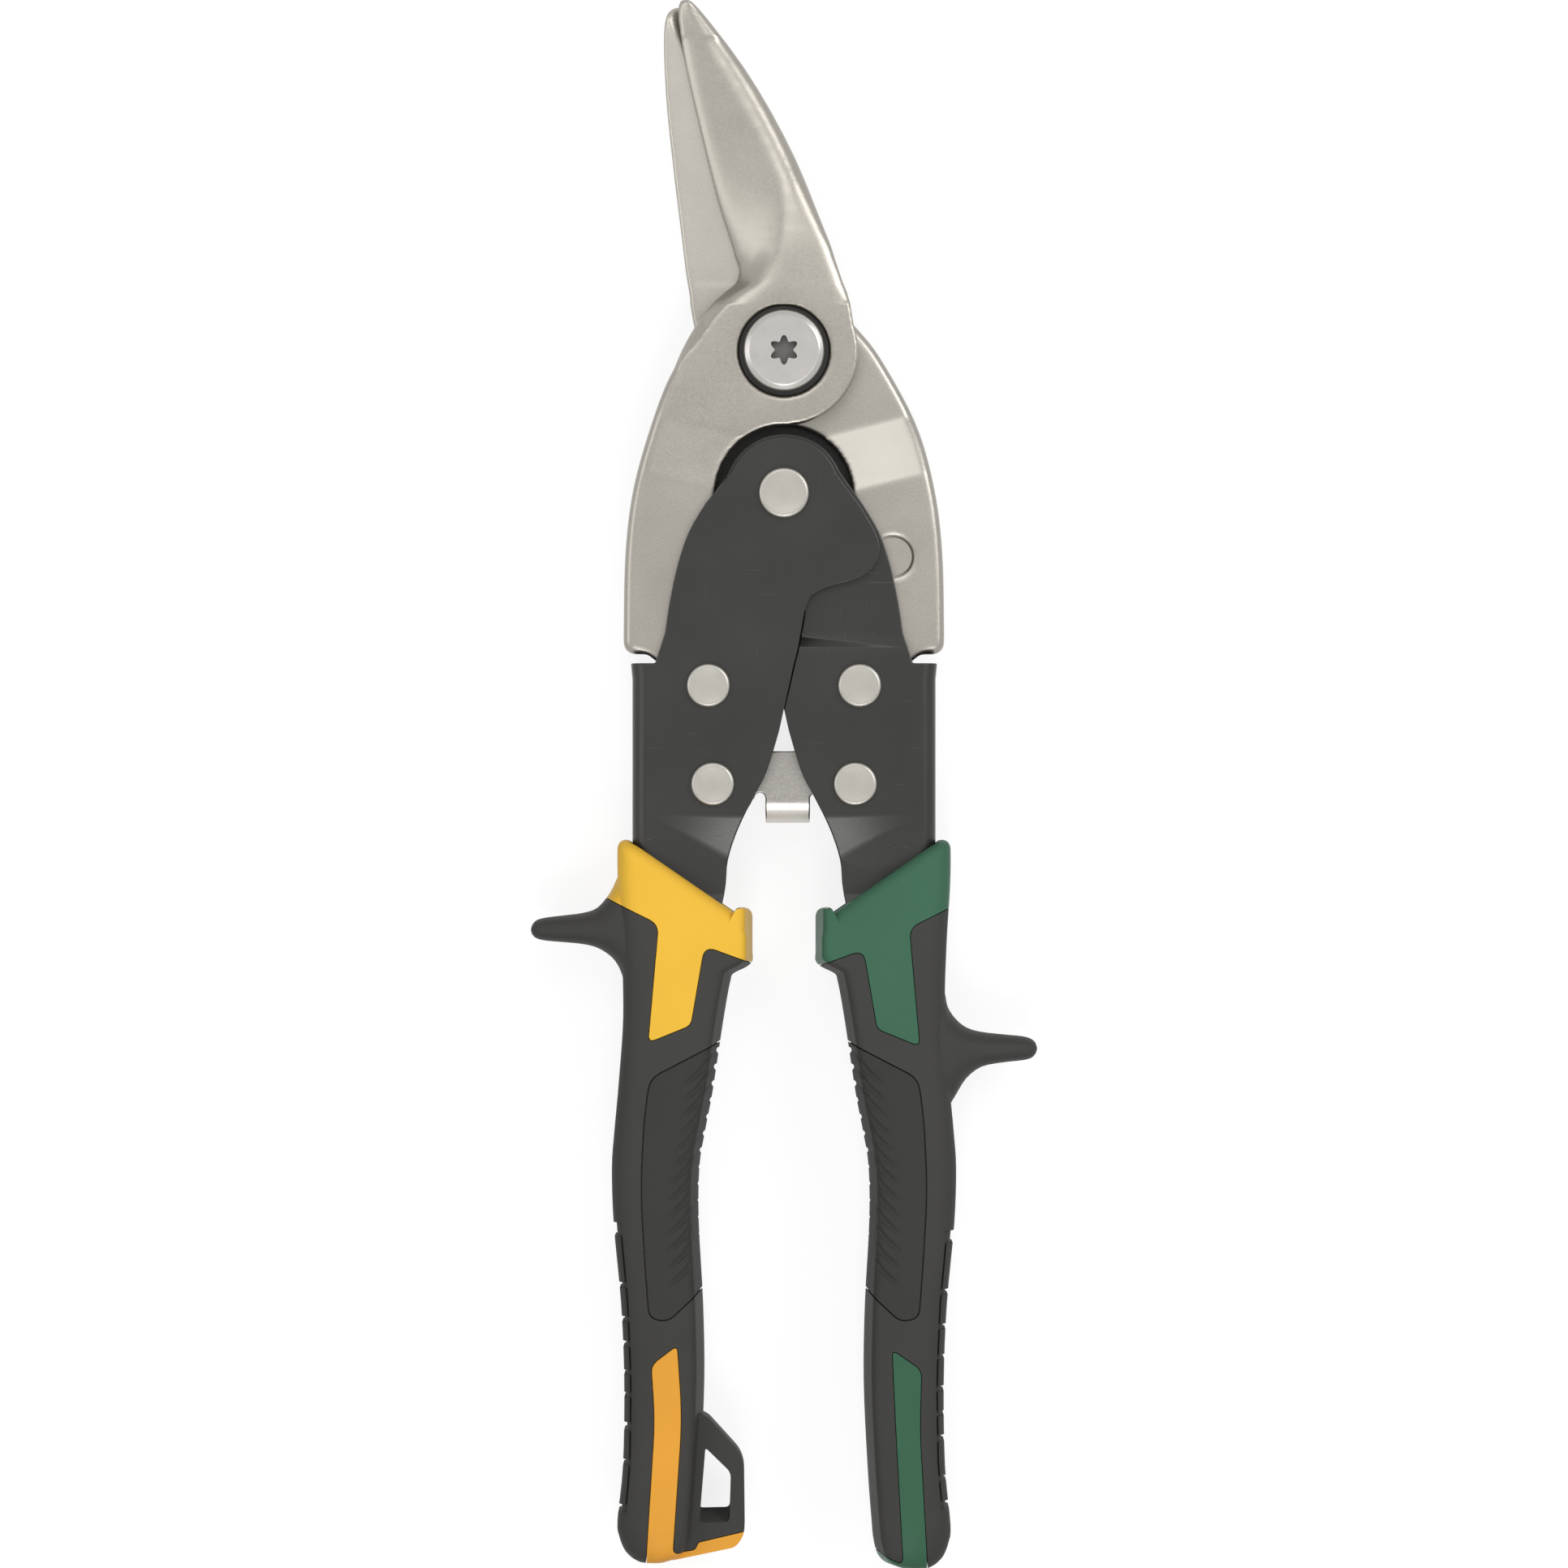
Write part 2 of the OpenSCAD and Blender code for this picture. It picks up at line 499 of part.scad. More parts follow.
// Hand guard with a flared root, thinner at the tip
guard_edge = concat(curve([[24, 10.5], [26.8, 8], [30.4, 3.6], [35.2, 2.2], [guard_x - 1.8, 1.8]]),
  arc([guard_x - 1.8, 0], 1.8, 60, 0, 4));
module guard(drop) translate([0, -drop, 0]) intersection() {
  slab(concat(guard_edge, flip(guard_edge)), -mid_z, mid_z);
  rotate([90, 0, 0]) translate([0, 0, -20]) linear_extrude(40)
    polygon(rounded([[20, 8.6, 0], [27, 8.2, 4], [guard_x, guard_tip_t / 2, 2.5],
      [guard_x, -guard_tip_t / 2, 2.5], [27, -8.2, 4], [20, -8.6, 0]]));
}

// Lanyard loop on the left grip, set back from the end of the grip
loop_outline = rounded([[14.5, 20, 0], [14.5, 24.9, 0], [12.6, 25, 2], [6.7, 18.7, 2.5], [6.4, 5.6, 2.2],
  [8, 3.2, 1.4], [18, 1.4, 0], [18, 10, 0]]);
loop_hole = rounded([[12.7, 19.8, 0.8], [8.6, 15.6, 1], [8.8, 10.3, 1.2], [13.7, 9.7, 0.8]]);

// Colour breaks seen from the front: the hard core shows through the cover inside these
collar_break = [[2, 20, 0], [44, 20, 0], [44, -11.1, 0], [19.6, -23, 1.2], [21.6, -41.3, 1.2],
  [14.6, -38.8, 1], [12.9, -26.9, 1.8], [2, -29.9, 0]];
stripe_top = [[17.4, stripe_len, 1.2], [21.7, stripe_len - 2.5, 2], [21.5, 23, 30], [22.7, -4, 0]];
loop_foot = [[2, -4, 0], [2, 7.2, 0], [13.6, 4.6, 1], [15.6, 2.8, 1.2]];
plain_foot = [[10, -4, 0], [10, 4, 0], [14.6, 3.6, 1], [16.8, 1.9, 1.2]];
stripe_side = [[18.7, 3.4, 1.4], [17.3, 23, 30]];
function end_break(loop) = concat(stripe_top, loop ? loop_foot : plain_foot, stripe_side);
pad_end = stripe_len + pad_gap - grip_drop;
pad_break = rounded([[2, -38, 0], [19.4, -46.6, 2], [22, -49.6, 3], [23.2, -66, 20],
  [22.1, pad_end + 3.4, 3], [19.8, pad_end, 2.4], [2, pad_end + 12.6, 0]]);

// Notches along the outer side, from the end of the grip
notches = [54.7, 45.6, 40.1, 29.5, 22.6, 16.4, 10.7, 6.6];

module at_end() translate([0, -grip_drop, 0]) children();
module shell(t) difference() {
  grip_form(0);
  grip_form(t);
}

module mouth_cut() translate([24.1, -10.1, -40]) rotate(collar_slope) translate([-60, 0, 0])
  cube([120, 60, 80]);

// Pocket for the handle, wide at the mouth, with crush ribs that hold the tang front and back
mouth_wall = 7.6;
module tang_pocket() mirror([1, 0, 0]) {
  slab(concat(foot, [[-web_x - play, 0], [-mouth_wall, 0], [-mouth_wall, -22]]),
    -neck_t / 2 - rib_h, neck_t / 2 + rib_h);
  slab([[-web_x - play, 0], [-mouth_wall, 0], [-mouth_wall, neck_y], [-web_x - play, neck_y]],
    -plate_out - play, plate_out + play);
}

module crush_ribs() for (s = [-1, 1], d = [30, 40, 50, 60]) hull() for (x = [19, 22])
  translate([x, -d, s * (neck_t / 2 + play + rib_h)]) cube([0.8, 1.6, 2 * rib_h], center = true);

module grip_body(drop, loop) difference() {
  union() {
    grip_form(0);
    guard(drop);
    if (loop) at_end() difference() {
      slab(loop_outline, -loop_t / 2, loop_t / 2);
      slab(loop_hole, -mid_z, mid_z);
    }
  }
  mouth_cut();
}

module breaks(loop) {
  slab(rounded(collar_break), -mid_z - 1, mid_z + 1);
  at_end() slab(rounded(end_break(loop)), -mid_z - 1, mid_z + 1);
}

module grip_core(drop, loop) {
  difference() {
    intersection() {
      grip_body(drop, loop);
      union() {
        grip_form(cover_t);
        breaks(loop);
      }
    }
    tang_pocket();
  }
  crush_ribs();
}

module grip_cover(drop, loop) difference() {
  grip_body(drop, loop);
  grip_form(cover_t);
  breaks(loop);
  slab(pad_break, -mid_z - 1, mid_z + 1);
  difference() {
    at_end() for (d = notches) hull() for (s = [-1, 1]) translate([26, d, 5.5 * s]) rotate([0, 90, 0])
      cylinder(r = 0.8, h = 8, center = true, $fn = 6);
    grip_form(groove_h);
  }
}

module palm_pad() difference() {
  intersection() {
    shell(cover_t);
    slab(pad_break, -mid_z - 1, mid_z + 1);
  }
  difference() {
    for (d = [46:groove_pitch:-7 - pad_end]) hull() for (p = [[8, 5.6], [18, -2.4]])
      translate([p.x, p.y - d, -mid_z - 1]) cylinder(r = 0.6, h = grip_t + 2, $fn = 6);
    grip_form(groove_h);
  }
}

module left_grip_core() color("#eebe43") place() mirror([1, 0, 0]) grip_core(left_guard_drop, true);
module left_grip_cover() color("#484744") place() mirror([1, 0, 0]) grip_cover(left_guard_drop, true);
module left_palm_pad() color("#414140") place() mirror([1, 0, 0]) palm_pad();
module right_grip_core() color("#466d58") place() grip_core(right_guard_drop, false);
module right_grip_cover() color("#484744") place() grip_cover(right_guard_drop, false);
module right_palm_pad() color("#414140") place() palm_pad();

front_blade();
rear_blade();
pivot_bolt();
pivot_washer();
nut_washer();
pivot_nut();
left_handle();
right_handle();
handle_rivet();
left_tang_rivet();
right_tang_rivet();
left_latch_rivet();
right_latch_rivet();
left_tang_spacer();
right_tang_spacer();
spring_bush();
return_spring();
latch();
front_latch_spacer();
back_latch_spacer();
left_grip_core();
left_grip_cover();
left_palm_pad();
right_grip_core();
right_grip_cover();
right_palm_pad();
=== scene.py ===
import json
import math

import bmesh
import bpy
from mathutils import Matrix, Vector


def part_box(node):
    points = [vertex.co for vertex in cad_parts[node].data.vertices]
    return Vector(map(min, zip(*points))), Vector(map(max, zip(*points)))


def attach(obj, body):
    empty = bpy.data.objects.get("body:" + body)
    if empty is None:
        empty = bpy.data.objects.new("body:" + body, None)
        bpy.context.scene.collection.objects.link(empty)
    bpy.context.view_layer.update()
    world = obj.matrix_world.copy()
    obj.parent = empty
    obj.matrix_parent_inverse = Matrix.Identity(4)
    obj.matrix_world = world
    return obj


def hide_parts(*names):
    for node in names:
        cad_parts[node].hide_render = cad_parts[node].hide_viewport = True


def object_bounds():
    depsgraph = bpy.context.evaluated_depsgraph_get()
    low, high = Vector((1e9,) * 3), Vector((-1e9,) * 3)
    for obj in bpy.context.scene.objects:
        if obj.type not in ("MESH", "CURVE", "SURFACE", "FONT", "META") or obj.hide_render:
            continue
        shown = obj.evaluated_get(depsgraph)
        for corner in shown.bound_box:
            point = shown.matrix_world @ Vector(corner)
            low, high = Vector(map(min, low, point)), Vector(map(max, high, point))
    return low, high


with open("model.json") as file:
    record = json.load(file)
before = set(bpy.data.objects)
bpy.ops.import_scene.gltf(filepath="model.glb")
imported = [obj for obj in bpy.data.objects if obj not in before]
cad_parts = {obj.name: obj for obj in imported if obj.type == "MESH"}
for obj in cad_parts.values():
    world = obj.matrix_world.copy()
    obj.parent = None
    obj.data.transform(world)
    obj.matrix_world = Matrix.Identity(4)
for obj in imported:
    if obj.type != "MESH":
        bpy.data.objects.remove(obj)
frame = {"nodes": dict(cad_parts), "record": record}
cad_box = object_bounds()
MM = 0.001

# Studio. The tool lies face up on a white table, with a broad lamp past the jaws, another at the grip
# end and one at each side. The camera looks straight down from far off, as for a catalogue.
VIEW_WIDTH = 254.06 * MM
CAMERA_HEIGHT = 1.6
CAMERA_REACH = 10.0
TABLE_SIZE = 6.0
ROOM_LEVEL = 0.5
TABLE_COLOUR = (0.26, 0.26, 0.26, 1.0)
TABLE_GLOW = (0.82, 0.82, 0.82)
LAMPS = {
    "jaw_lamp": ((-0.12, 0.52, 1.00), 0.40, 1.3),
    "grip_lamp": ((0.00, -0.62, 1.00), 0.35, 3.0),
    "left_lamp": ((-0.80, 0.10, 0.66), 0.50, 1.1),
    "right_lamp": ((0.75, 0.45, 0.90), 0.50, 4.4),
}


class Value:
    """A shader value in a Python expression: each operation on it adds a Math node."""

    def __init__(self, paint, socket):
        self.paint = paint
        self.socket = socket

    def math(self, operation, first, second):
        return self.paint.node("Math", {"operation": operation}, {0: first, 1: second})

    def __add__(self, other):
        return self.math("ADD", self, other)

    def __sub__(self, other):
        return self.math("SUBTRACT", self, other)

    def __rsub__(self, other):
        return self.math("SUBTRACT", other, self)

    def __mul__(self, other):
        return self.math("MULTIPLY", self, other)


class Paint:
    """A node tree of a material or of the room."""

    def __init__(self, owner):
        owner.use_nodes = True
        self.owner = owner
        self.tree = owner.node_tree

    def node(self, kind, settings=None, sockets=None, output=0):
        node = self.tree.nodes.new("ShaderNode" + kind)
        for name, value in (settings or {}).items():
            setattr(node, name, value)
        for key, value in (sockets or {}).items():
            self.feed(node.inputs[key], value)
        return Value(self, node.outputs[output])

    def feed(self, socket, value):
        if isinstance(value, Value):
            self.tree.links.new(value.socket, socket)
        else:
            socket.default_value = value

    def step(self, value, low, high):
        """0 below low, 1 above high and a smooth rise between."""
        sockets = {"Value": value, "From Min": low, "From Max": high}
        return self.node("MapRange", {"interpolation_type": "SMOOTHSTEP"}, sockets)

    def blend(self, share, first, second):
        sockets = {0: share, 6: first, 7: second}
        sockets.update({key: (*sockets[key], 1.0) for key in (6, 7) if isinstance(sockets[key], tuple)})
        return self.node("Mix", {"data_type": "RGBA"}, sockets, output=2)

    def seen(self):
        """1 where the ray comes from the camera, a reflection or glass, and 0 for light that fills."""
        camera, glossy, through = (
            self.node("LightPath", output=f"Is {ray} Ray") for ray in ("Camera", "Glossy", "Transmission")
        )
        return camera.math("MAXIMUM", camera.math("MAXIMUM", camera, glossy), through)


def add_object(name, data):
    thing = bpy.data.objects.new(name, data)
    bpy.context.scene.collection.objects.link(thing)
    return thing


def mesh_from(name, bm):
    mesh = bpy.data.meshes.new(name)
    bm.to_mesh(mesh)
    bm.free()
    return mesh


room = Paint(bpy.data.worlds.new("white_room"))
background = room.tree.nodes["Background"]
background.inputs["Color"].default_value = (1.0, 1.0, 1.0, 1.0)
room.feed(background.inputs["Strength"], room.seen() * (1 - ROOM_LEVEL) + ROOM_LEVEL)
bpy.context.scene.world = room.owner

bm = bmesh.new()
bmesh.ops.create_grid(bm, x_segments=1, y_segments=1, size=TABLE_SIZE / 2)
table = add_object("table", mesh_from("table", bm))
laminate = Paint(bpy.data.materials.new("white_laminate"))
shader = laminate.tree.nodes["Principled BSDF"]
laminate.feed(shader.inputs["Base Color"], TABLE_COLOUR)
laminate.feed(shader.inputs["Roughness"], 0.9)
laminate.feed(shader.inputs["Specular IOR Level"], 0.0)
laminate.feed(shader.inputs["Emission Strength"], 1.0)
laminate.feed(shader.inputs["Emission Color"], laminate.blend(laminate.seen(), (0.0, 0.0, 0.0), TABLE_GLOW))
table.data.materials.append(laminate.owner)

for name, (spot, size, power) in LAMPS.items():
    light = bpy.data.lights.new(name, "AREA")
    light.size = size
    light.energy = power
    lamp = add_object(name, light)
    lamp.location = spot
    lamp.rotation_euler = Vector(spot).to_track_quat("Z", "Y").to_euler()

lens = bpy.data.cameras.new("camera")
camera = add_object("camera", lens)
tool_middle = (cad_box[0].z + cad_box[1].z) / 2
camera.location = (0.0, 0.0, CAMERA_HEIGHT)
lens.lens = lens.sensor_width * (CAMERA_HEIGHT - tool_middle) / VIEW_WIDTH
lens.clip_end = CAMERA_REACH
bpy.context.scene.camera = camera
bpy.context.scene.view_settings.view_transform = "Standard"

# Blades. Two drop-forged steel jaws with long shanks, bead-blasted to a warm grey, lighter where the
# jaws are ground. Each solid is skinned in an even net and smoothed, so that its corners run soft.
BLAST_GRAIN = 0.3 * MM
BLAST_CLOUD = 9 * MM
BLAST_BUMP = 0.008 * MM
MERGE = 0.002 * MM
FLAT_TURN = 0.4
FORGE_CELL = 0.258 * MM
FORGE_PASSES = 26
FACE_RUN = (77.6 * MM, 121 * MM)
FACE_PASSES = 100
FACE_TILT = 0.15
STAMP_AT = Vector((17.6 * MM, 36.8 * MM))
STAMP_RADIUS = 3.7 * MM
STAMP_DEPTH = 0.55 * MM
STAMP_WALL = 0.6 * MM
STAMP_SLACK = 0.05 * MM
JAW_RUN = (74 * MM, 86 * MM)
SHANK_ROUND = 1.3 * MM
SHANK_OUTSIDE = 12 * MM
SHANK_RUN = (20.9 * MM, 80 * MM)
TURNED_STEPS = 96
FRONT_STEEL = (0.34, 0.322, 0.287)
REAR_STEEL = (0.345, 0.328, 0.294)
GROUND_LIGHT = 1.36
bodies = frame["record"]["behaviour"]["bodies"]
body_of = {node: body for body, nodes in bodies.items() for node in nodes}


class Finish(Paint):
    """A material of one shader, with patterns on the Object coordinates of the piece."""

    def __init__(self, name, **sockets):
        super().__init__(bpy.data.materials.new(name))
        self.shader = self.tree.nodes["Principled BSDF"]
        self.place = self.node("TexCoord", output="Object")
        self.set(sockets)

    def set(self, sockets):
        for name, value in sockets.items():
            self.feed(self.shader.inputs[name], value)

    def noise(self, size, detail=2.0, stretch=None):
        """Soft noise from 0 to 1, with lumps of about that size, drawn out where stretch is small."""
        place = self.place
        if stretch:
            place = self.node("Mapping", {}, {"Vector": place, "Scale": stretch})
        return self.node("TexNoise", {}, {"Vector": place, "Scale": 1 / size, "Detail": detail})

    def bump(self, height, depth):
        return self.node("Bump", {}, {"Height": height, "Distance": depth, "Strength": 1.0})


def shaded(colour, share):
    """A colour made darker or lighter by a share of itself."""
    return tuple(channel * share for channel in colour)


def blasted_steel(name, colour, ground_and_sheen, run, light):
    """Steel blasted to an even grey, finely grained, and lighter past a run: where the jaws are ground on the
    blades, and as a painted highlight on the tab of the latch.
    """
    steel = Finish(name, Metallic=1.0)
    grain = steel.noise(BLAST_GRAIN, detail=3.0)
    cloud = steel.noise(BLAST_CLOUD, detail=5.0)
    along = steel.node("SeparateXYZ", {}, {0: steel.place}, output="Y")
    past = steel.step(along, *run) * ground_and_sheen
    tone = grain * 0.55 + cloud * 0.25 + (past - 0.05)
    steel.set({
        "Base Color": steel.blend(tone, shaded(colour, 0.80), shaded(colour, light)),
        "Roughness": grain * 0.14 + cloud * 0.10 + 0.22,
        "Normal": steel.bump(grain, BLAST_BUMP),
    })
    return steel


def bench_copy(node, merge=MERGE):
    """A working copy of a forged or stamped piece, with its doubles merged and flat faces made whole."""
    bm = bmesh.new()
    bm.from_mesh(frame["nodes"][node].data)
    bmesh.ops.remove_doubles(bm, verts=bm.verts, dist=merge)
    bmesh.ops.dissolve_limit(bm, angle_limit=math.radians(FLAT_TURN), verts=bm.verts, edges=bm.edges)
    return bm


def narrow(face, width):
    """Whether a face is too thin a strip to take a rounding of that width."""
    return face.calc_area() < width * max(e.calc_length() for e in face.edges)


def break_edges(bm, radius, steps=2, turn=40, where=None):
    """Rounds every edge that turns more than this many degrees, or those of them picked by where."""
    edges = [
        e for e in bm.edges
        if len(e.link_faces) == 2 and e.calc_face_angle() > math.radians(turn)
        and not any(narrow(f, 0.3 * radius) for f in e.link_faces)
        and (where is None or where((e.verts[0].co + e.verts[1].co) / 2, e))
    ]
    bmesh.ops.bevel(bm, geom=edges, offset=radius, offset_type="OFFSET", segments=steps, profile=0.5,
                    affect="EDGES", material=-1, clamp_overlap=False)


def fit(name, bm, finishes, nodes, crease=40, flat=False):
    """Puts a finished piece on the body of the nodes that it stands for."""
    mesh = mesh_from(name, bm)
    for finish in finishes:
        mesh.materials.append(finish.owner)
    mesh.shade_smooth()
    mesh.set_sharp_from_angle(angle=math.radians(crease))
    piece = add_object(name, mesh)
    if flat:
        piece.modifiers.new("true_faces", "WEIGHTED_NORMAL").keep_sharp = True
    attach(piece, body_of[nodes[0]])
    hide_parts(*nodes)


def taken_off(work, *others):
    """The shape of an object with its modifiers applied; it and the others leave the scene."""
    result = bmesh.new()
    result.from_object(work, bpy.context.evaluated_depsgraph_get())
    for spent in (work, *others):
        mesh = spent.data
        bpy.data.objects.remove(spent)
        bpy.data.meshes.remove(mesh)
    return result


def forged(bm):
    """The same solid in an even net of small cells, smoothed until its corners run soft."""
    work = add_object("work", mesh_from("work", bm))
    net = work.modifiers.new("net", "REMESH")
    net.mode, net.voxel_size = "VOXEL", FORGE_CELL
    even = work.modifiers.new("even", "SMOOTH")
    even.factor, even.iterations = 0.5, FORGE_PASSES
    return taken_off(work)


def even_face(bm):
    """Evens out the face of the front jaw, so that its ridge runs in one soft bend into the boss."""
    bm.normal_update()
    face = [v for v in bm.verts if FACE_RUN[0] < v.co.y < FACE_RUN[1] and v.normal.z > FACE_TILT]
    for _ in range(FACE_PASSES):
        bmesh.ops.smooth_vert(bm, verts=face, factor=0.5, use_axis_z=True)


def turn(profile, centre):
    """A closed turned piece from a profile of (radius, height) that starts and ends on its axis."""
    bm = bmesh.new()
    verts = [bm.verts.new((centre.x + radius, centre.y, height)) for radius, height in profile]
    edges = [bm.edges.new(pair) for pair in zip(verts, verts[1:])]
    bmesh.ops.spin(bm, geom=verts + edges, cent=centre, axis=(0, 0, 1), angle=math.tau,
                   steps=TURNED_STEPS, use_merge=True)
    bmesh.ops.remove_doubles(bm, verts=bm.verts, dist=0.001 * MM)
    bmesh.ops.recalc_face_normals(bm, faces=bm.faces)
    return bm


def cut(bm, tool, operation="DIFFERENCE", solver="EXACT"):
    """One closed shape cut by another, joined to it, or kept only where both are."""
    work = add_object("work", mesh_from("work", bm))
    cutter = add_object("cutter", mesh_from("cutter", tool))
    boolean = work.modifiers.new("cut", "BOOLEAN")
    boolean.operation, boolean.object, boolean.solver = operation, cutter, solver
    return taken_off(work, cutter)


def stamped(bm):
    """The round recess stamped in the shank of the rear blade, with a sloping wall."""
    rim = [v.co.z for v in frame["nodes"]["rear_blade"].data.vertices
           if abs((v.co.xy - STAMP_AT).length - STAMP_RADIUS) < STAMP_SLACK]
    floor, top, above = max(rim) - STAMP_DEPTH, max(rim), max(rim) + STAMP_DEPTH
    punch = turn([(0, floor), (STAMP_RADIUS - STAMP_WALL, floor), (STAMP_RADIUS, top),
                  (STAMP_RADIUS + STAMP_WALL, above), (0, above)], STAMP_AT.to_3d())
    return cut(bm, punch, solver="MANIFOLD")


def outer_shank(side):
    """Picks the long outer edges of a shank on one side of the tool, clear of its shoulder."""
    def picked(middle, edge):
        along = (edge.verts[0].co - edge.verts[1].co).normalized()
        outside = middle.x * side > SHANK_OUTSIDE and SHANK_RUN[0] < middle.y < SHANK_RUN[1]
        return outside and abs(along.z) < 0.5
    return picked


for node, side, colour, ground_and_sheen in (
    ("rear_blade", 1, REAR_STEEL, 0.32), ("front_blade", -1, FRONT_STEEL, 0.08),
):
    bm = bench_copy(node)
    break_edges(bm, SHANK_ROUND, steps=4, turn=55, where=outer_shank(side))
    bm = forged(bm)
    if node == "front_blade":
        even_face(bm)
    else:
        bm = stamped(bm)
    steel = blasted_steel(node + "_steel", colour, ground_and_sheen, JAW_RUN, GROUND_LIGHT)
    fit(node + "_forging", bm, [steel], [node], crease=35)

# Pivot. A six-lobe bolt with a broad bevelled head sits in the recess of the front blade on a black
# washer, and a washer and a hexagon nut hold it at the back. Head and nut are turned and plated.
HEAD_EDGE = [(0, 0.95), (0.22, 0.42), (0.80, 0.06), (0.95, 0), (1.15, 0.03)]
HEAD_DISH = 0.03
SHAFT_RADIUS = 4 * MM
SHAFT_CHAMFER = 0.6 * MM
DRIVE_RADIUS = 2.4 * MM
DRIVE_DEPTH = 2.0 * MM
DRIVE_TIP = 0.8 * MM
LOBE_STEPS = 72
LATHE_PITCH = 0.18 * MM
LATHE_BUMP = 0.010 * MM
DRIVE_RIM = 0.1 * MM
WASHER_PLAY = 0.05 * MM
WASHER_CHAMFER = 0.12 * MM
NUT_EDGE = 0.2 * MM
BOLT_STEEL = (0.455, 0.44, 0.42)
DRIVE_SHADE = (0.13, 0.125, 0.12)
WASHER_BLACK = (0.022, 0.021, 0.020)


def turned_steel(name, colour, centre, roughness):
    """Plated steel with faint rings left by the lathe about its own axis."""
    steel = Finish(name, Metallic=1.0)
    offset = steel.node("VectorMath", {"operation": "SUBTRACT"}, {0: steel.place, 1: centre})
    across = steel.node("VectorMath", {"operation": "MULTIPLY"}, {0: offset, 1: (1.0, 1.0, 0.0)})
    radius = steel.node("VectorMath", {"operation": "LENGTH"}, {0: across}, output="Value")
    rings = steel.node("TexNoise", {"noise_dimensions": "1D"}, {"W": radius, "Scale": 1 / LATHE_PITCH})
    cloud = steel.noise(2.6 * MM, detail=4.0)
    grain = steel.noise(0.2 * MM)
    tone = rings * 0.4 + cloud * 0.25 + grain * 0.35
    steel.set({
        "Base Color": steel.blend(tone, shaded(colour, 0.86), shaded(colour, 1.12)),
        "Roughness": cloud * 0.10 + grain * 0.1 + (roughness - 0.10),
        "Normal": steel.bump(rings * 0.6 + grain * 0.4, LATHE_BUMP),
    })
    return steel


def prism(points, low, high):
    """A straight block of an outline in the plane of the tool, between two heights."""
    bm = bmesh.new()
    face = bm.faces.new([bm.verts.new((x, y, low)) for x, y in points])
    lifted = bmesh.ops.extrude_face_region(bm, geom=[face])["geom"]
    bmesh.ops.translate(bm, verts=[v for v in lifted if isinstance(v, bmesh.types.BMVert)],
                        vec=(0, 0, high - low))
    bmesh.ops.recalc_face_normals(bm, faces=bm.faces)
    return bm


def middle_of(node):
    low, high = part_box(node)
    return (low + high) / 2


def head_profile(radius, top, edge, dish):
    """Half the outline of a head, over a rim of steps in and down in millimetres, to the axis."""
    return [(radius - inward * MM, top - down * MM) for inward, down in edge] + [(0, top - dish * MM)]


bolt_low, bolt_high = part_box("pivot_bolt")
pivot = middle_of("pivot_bolt")
head_radius = (bolt_high.x - bolt_low.x) / 2
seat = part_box("pivot_washer")[1].z
bm = turn([
    (0, bolt_low.z), (SHAFT_RADIUS - SHAFT_CHAMFER, bolt_low.z), (SHAFT_RADIUS, bolt_low.z + SHAFT_CHAMFER),
    (SHAFT_RADIUS, seat), (head_radius, seat), *head_profile(head_radius, bolt_high.z, HEAD_EDGE, HEAD_DISH),
], pivot)
lobes = [
    DRIVE_RADIUS * (0.81 - 0.19 * math.cos(6 * a)) * Vector((math.cos(a), math.sin(a)))
    for a in (math.tau * i / LOBE_STEPS for i in range(LOBE_STEPS))
]
floor = bolt_high.z - DRIVE_DEPTH
drive = prism([(pivot.x + p.x, pivot.y + p.y) for p in lobes], floor, bolt_high.z + MM)
point = bmesh.ops.extrude_face_region(drive, geom=[f for f in drive.faces if f.normal.z < -0.9])["geom"]
for v in (v for v in point if isinstance(v, bmesh.types.BMVert)):
    v.co = v.co.lerp(Vector((pivot.x, pivot.y, floor)), 0.75) - Vector((0, 0, DRIVE_TIP))
bm = cut(bm, drive)
# The faces inside the six-lobe recess take a darker steel: painted shade in the recess.
for face in bm.faces:
    middle = face.calc_center_median()
    inside = (middle - pivot).xy.length < DRIVE_RADIUS
    if inside and bolt_low.z + MM < middle.z < bolt_high.z - DRIVE_RIM:
        face.material_index = 1
bolt_steel = turned_steel("bolt_steel", BOLT_STEEL, pivot, 0.3)
drive_steel = Finish("drive_steel", Metallic=1.0, Roughness=0.45, **{"Base Color": (*DRIVE_SHADE, 1.0)})
fit("six_lobe_pivot_bolt", bm, [bolt_steel, drive_steel], ["pivot_bolt"],
    crease=25, flat=True)

black_washer = Finish("blackened_washer", Metallic=0.4, **{"Base Color": (*WASHER_BLACK, 1.0)})
black_washer.set({"Roughness": black_washer.noise(1.5 * MM) * 0.2 + 0.35})


def washer(node):
    """A flat ring with a small chamfer round its rim, from the sizes of its node."""
    low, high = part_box(node)
    rim, hole = (high.x - low.x) / 2, SHAFT_RADIUS + WASHER_PLAY
    flat = rim - WASHER_CHAMFER
    return turn([(hole, low.z), (flat, low.z), (rim, low.z + WASHER_CHAMFER), (rim, high.z - WASHER_CHAMFER),
                 (flat, high.z), (hole, high.z), (hole, low.z)], middle_of(node))


fit("head_washer", washer("pivot_washer"), [black_washer], ["pivot_washer"], flat=True)
fit("back_washer", washer("nut_washer"), [black_washer], ["nut_washer"], flat=True)

bm = bench_copy("pivot_nut")
break_edges(bm, NUT_EDGE, turn=35)
fit("hexagon_nut", bm, [turned_steel("nut_steel", BOLT_STEEL, pivot, 0.34)], ["pivot_nut"],
    crease=30, flat=True)
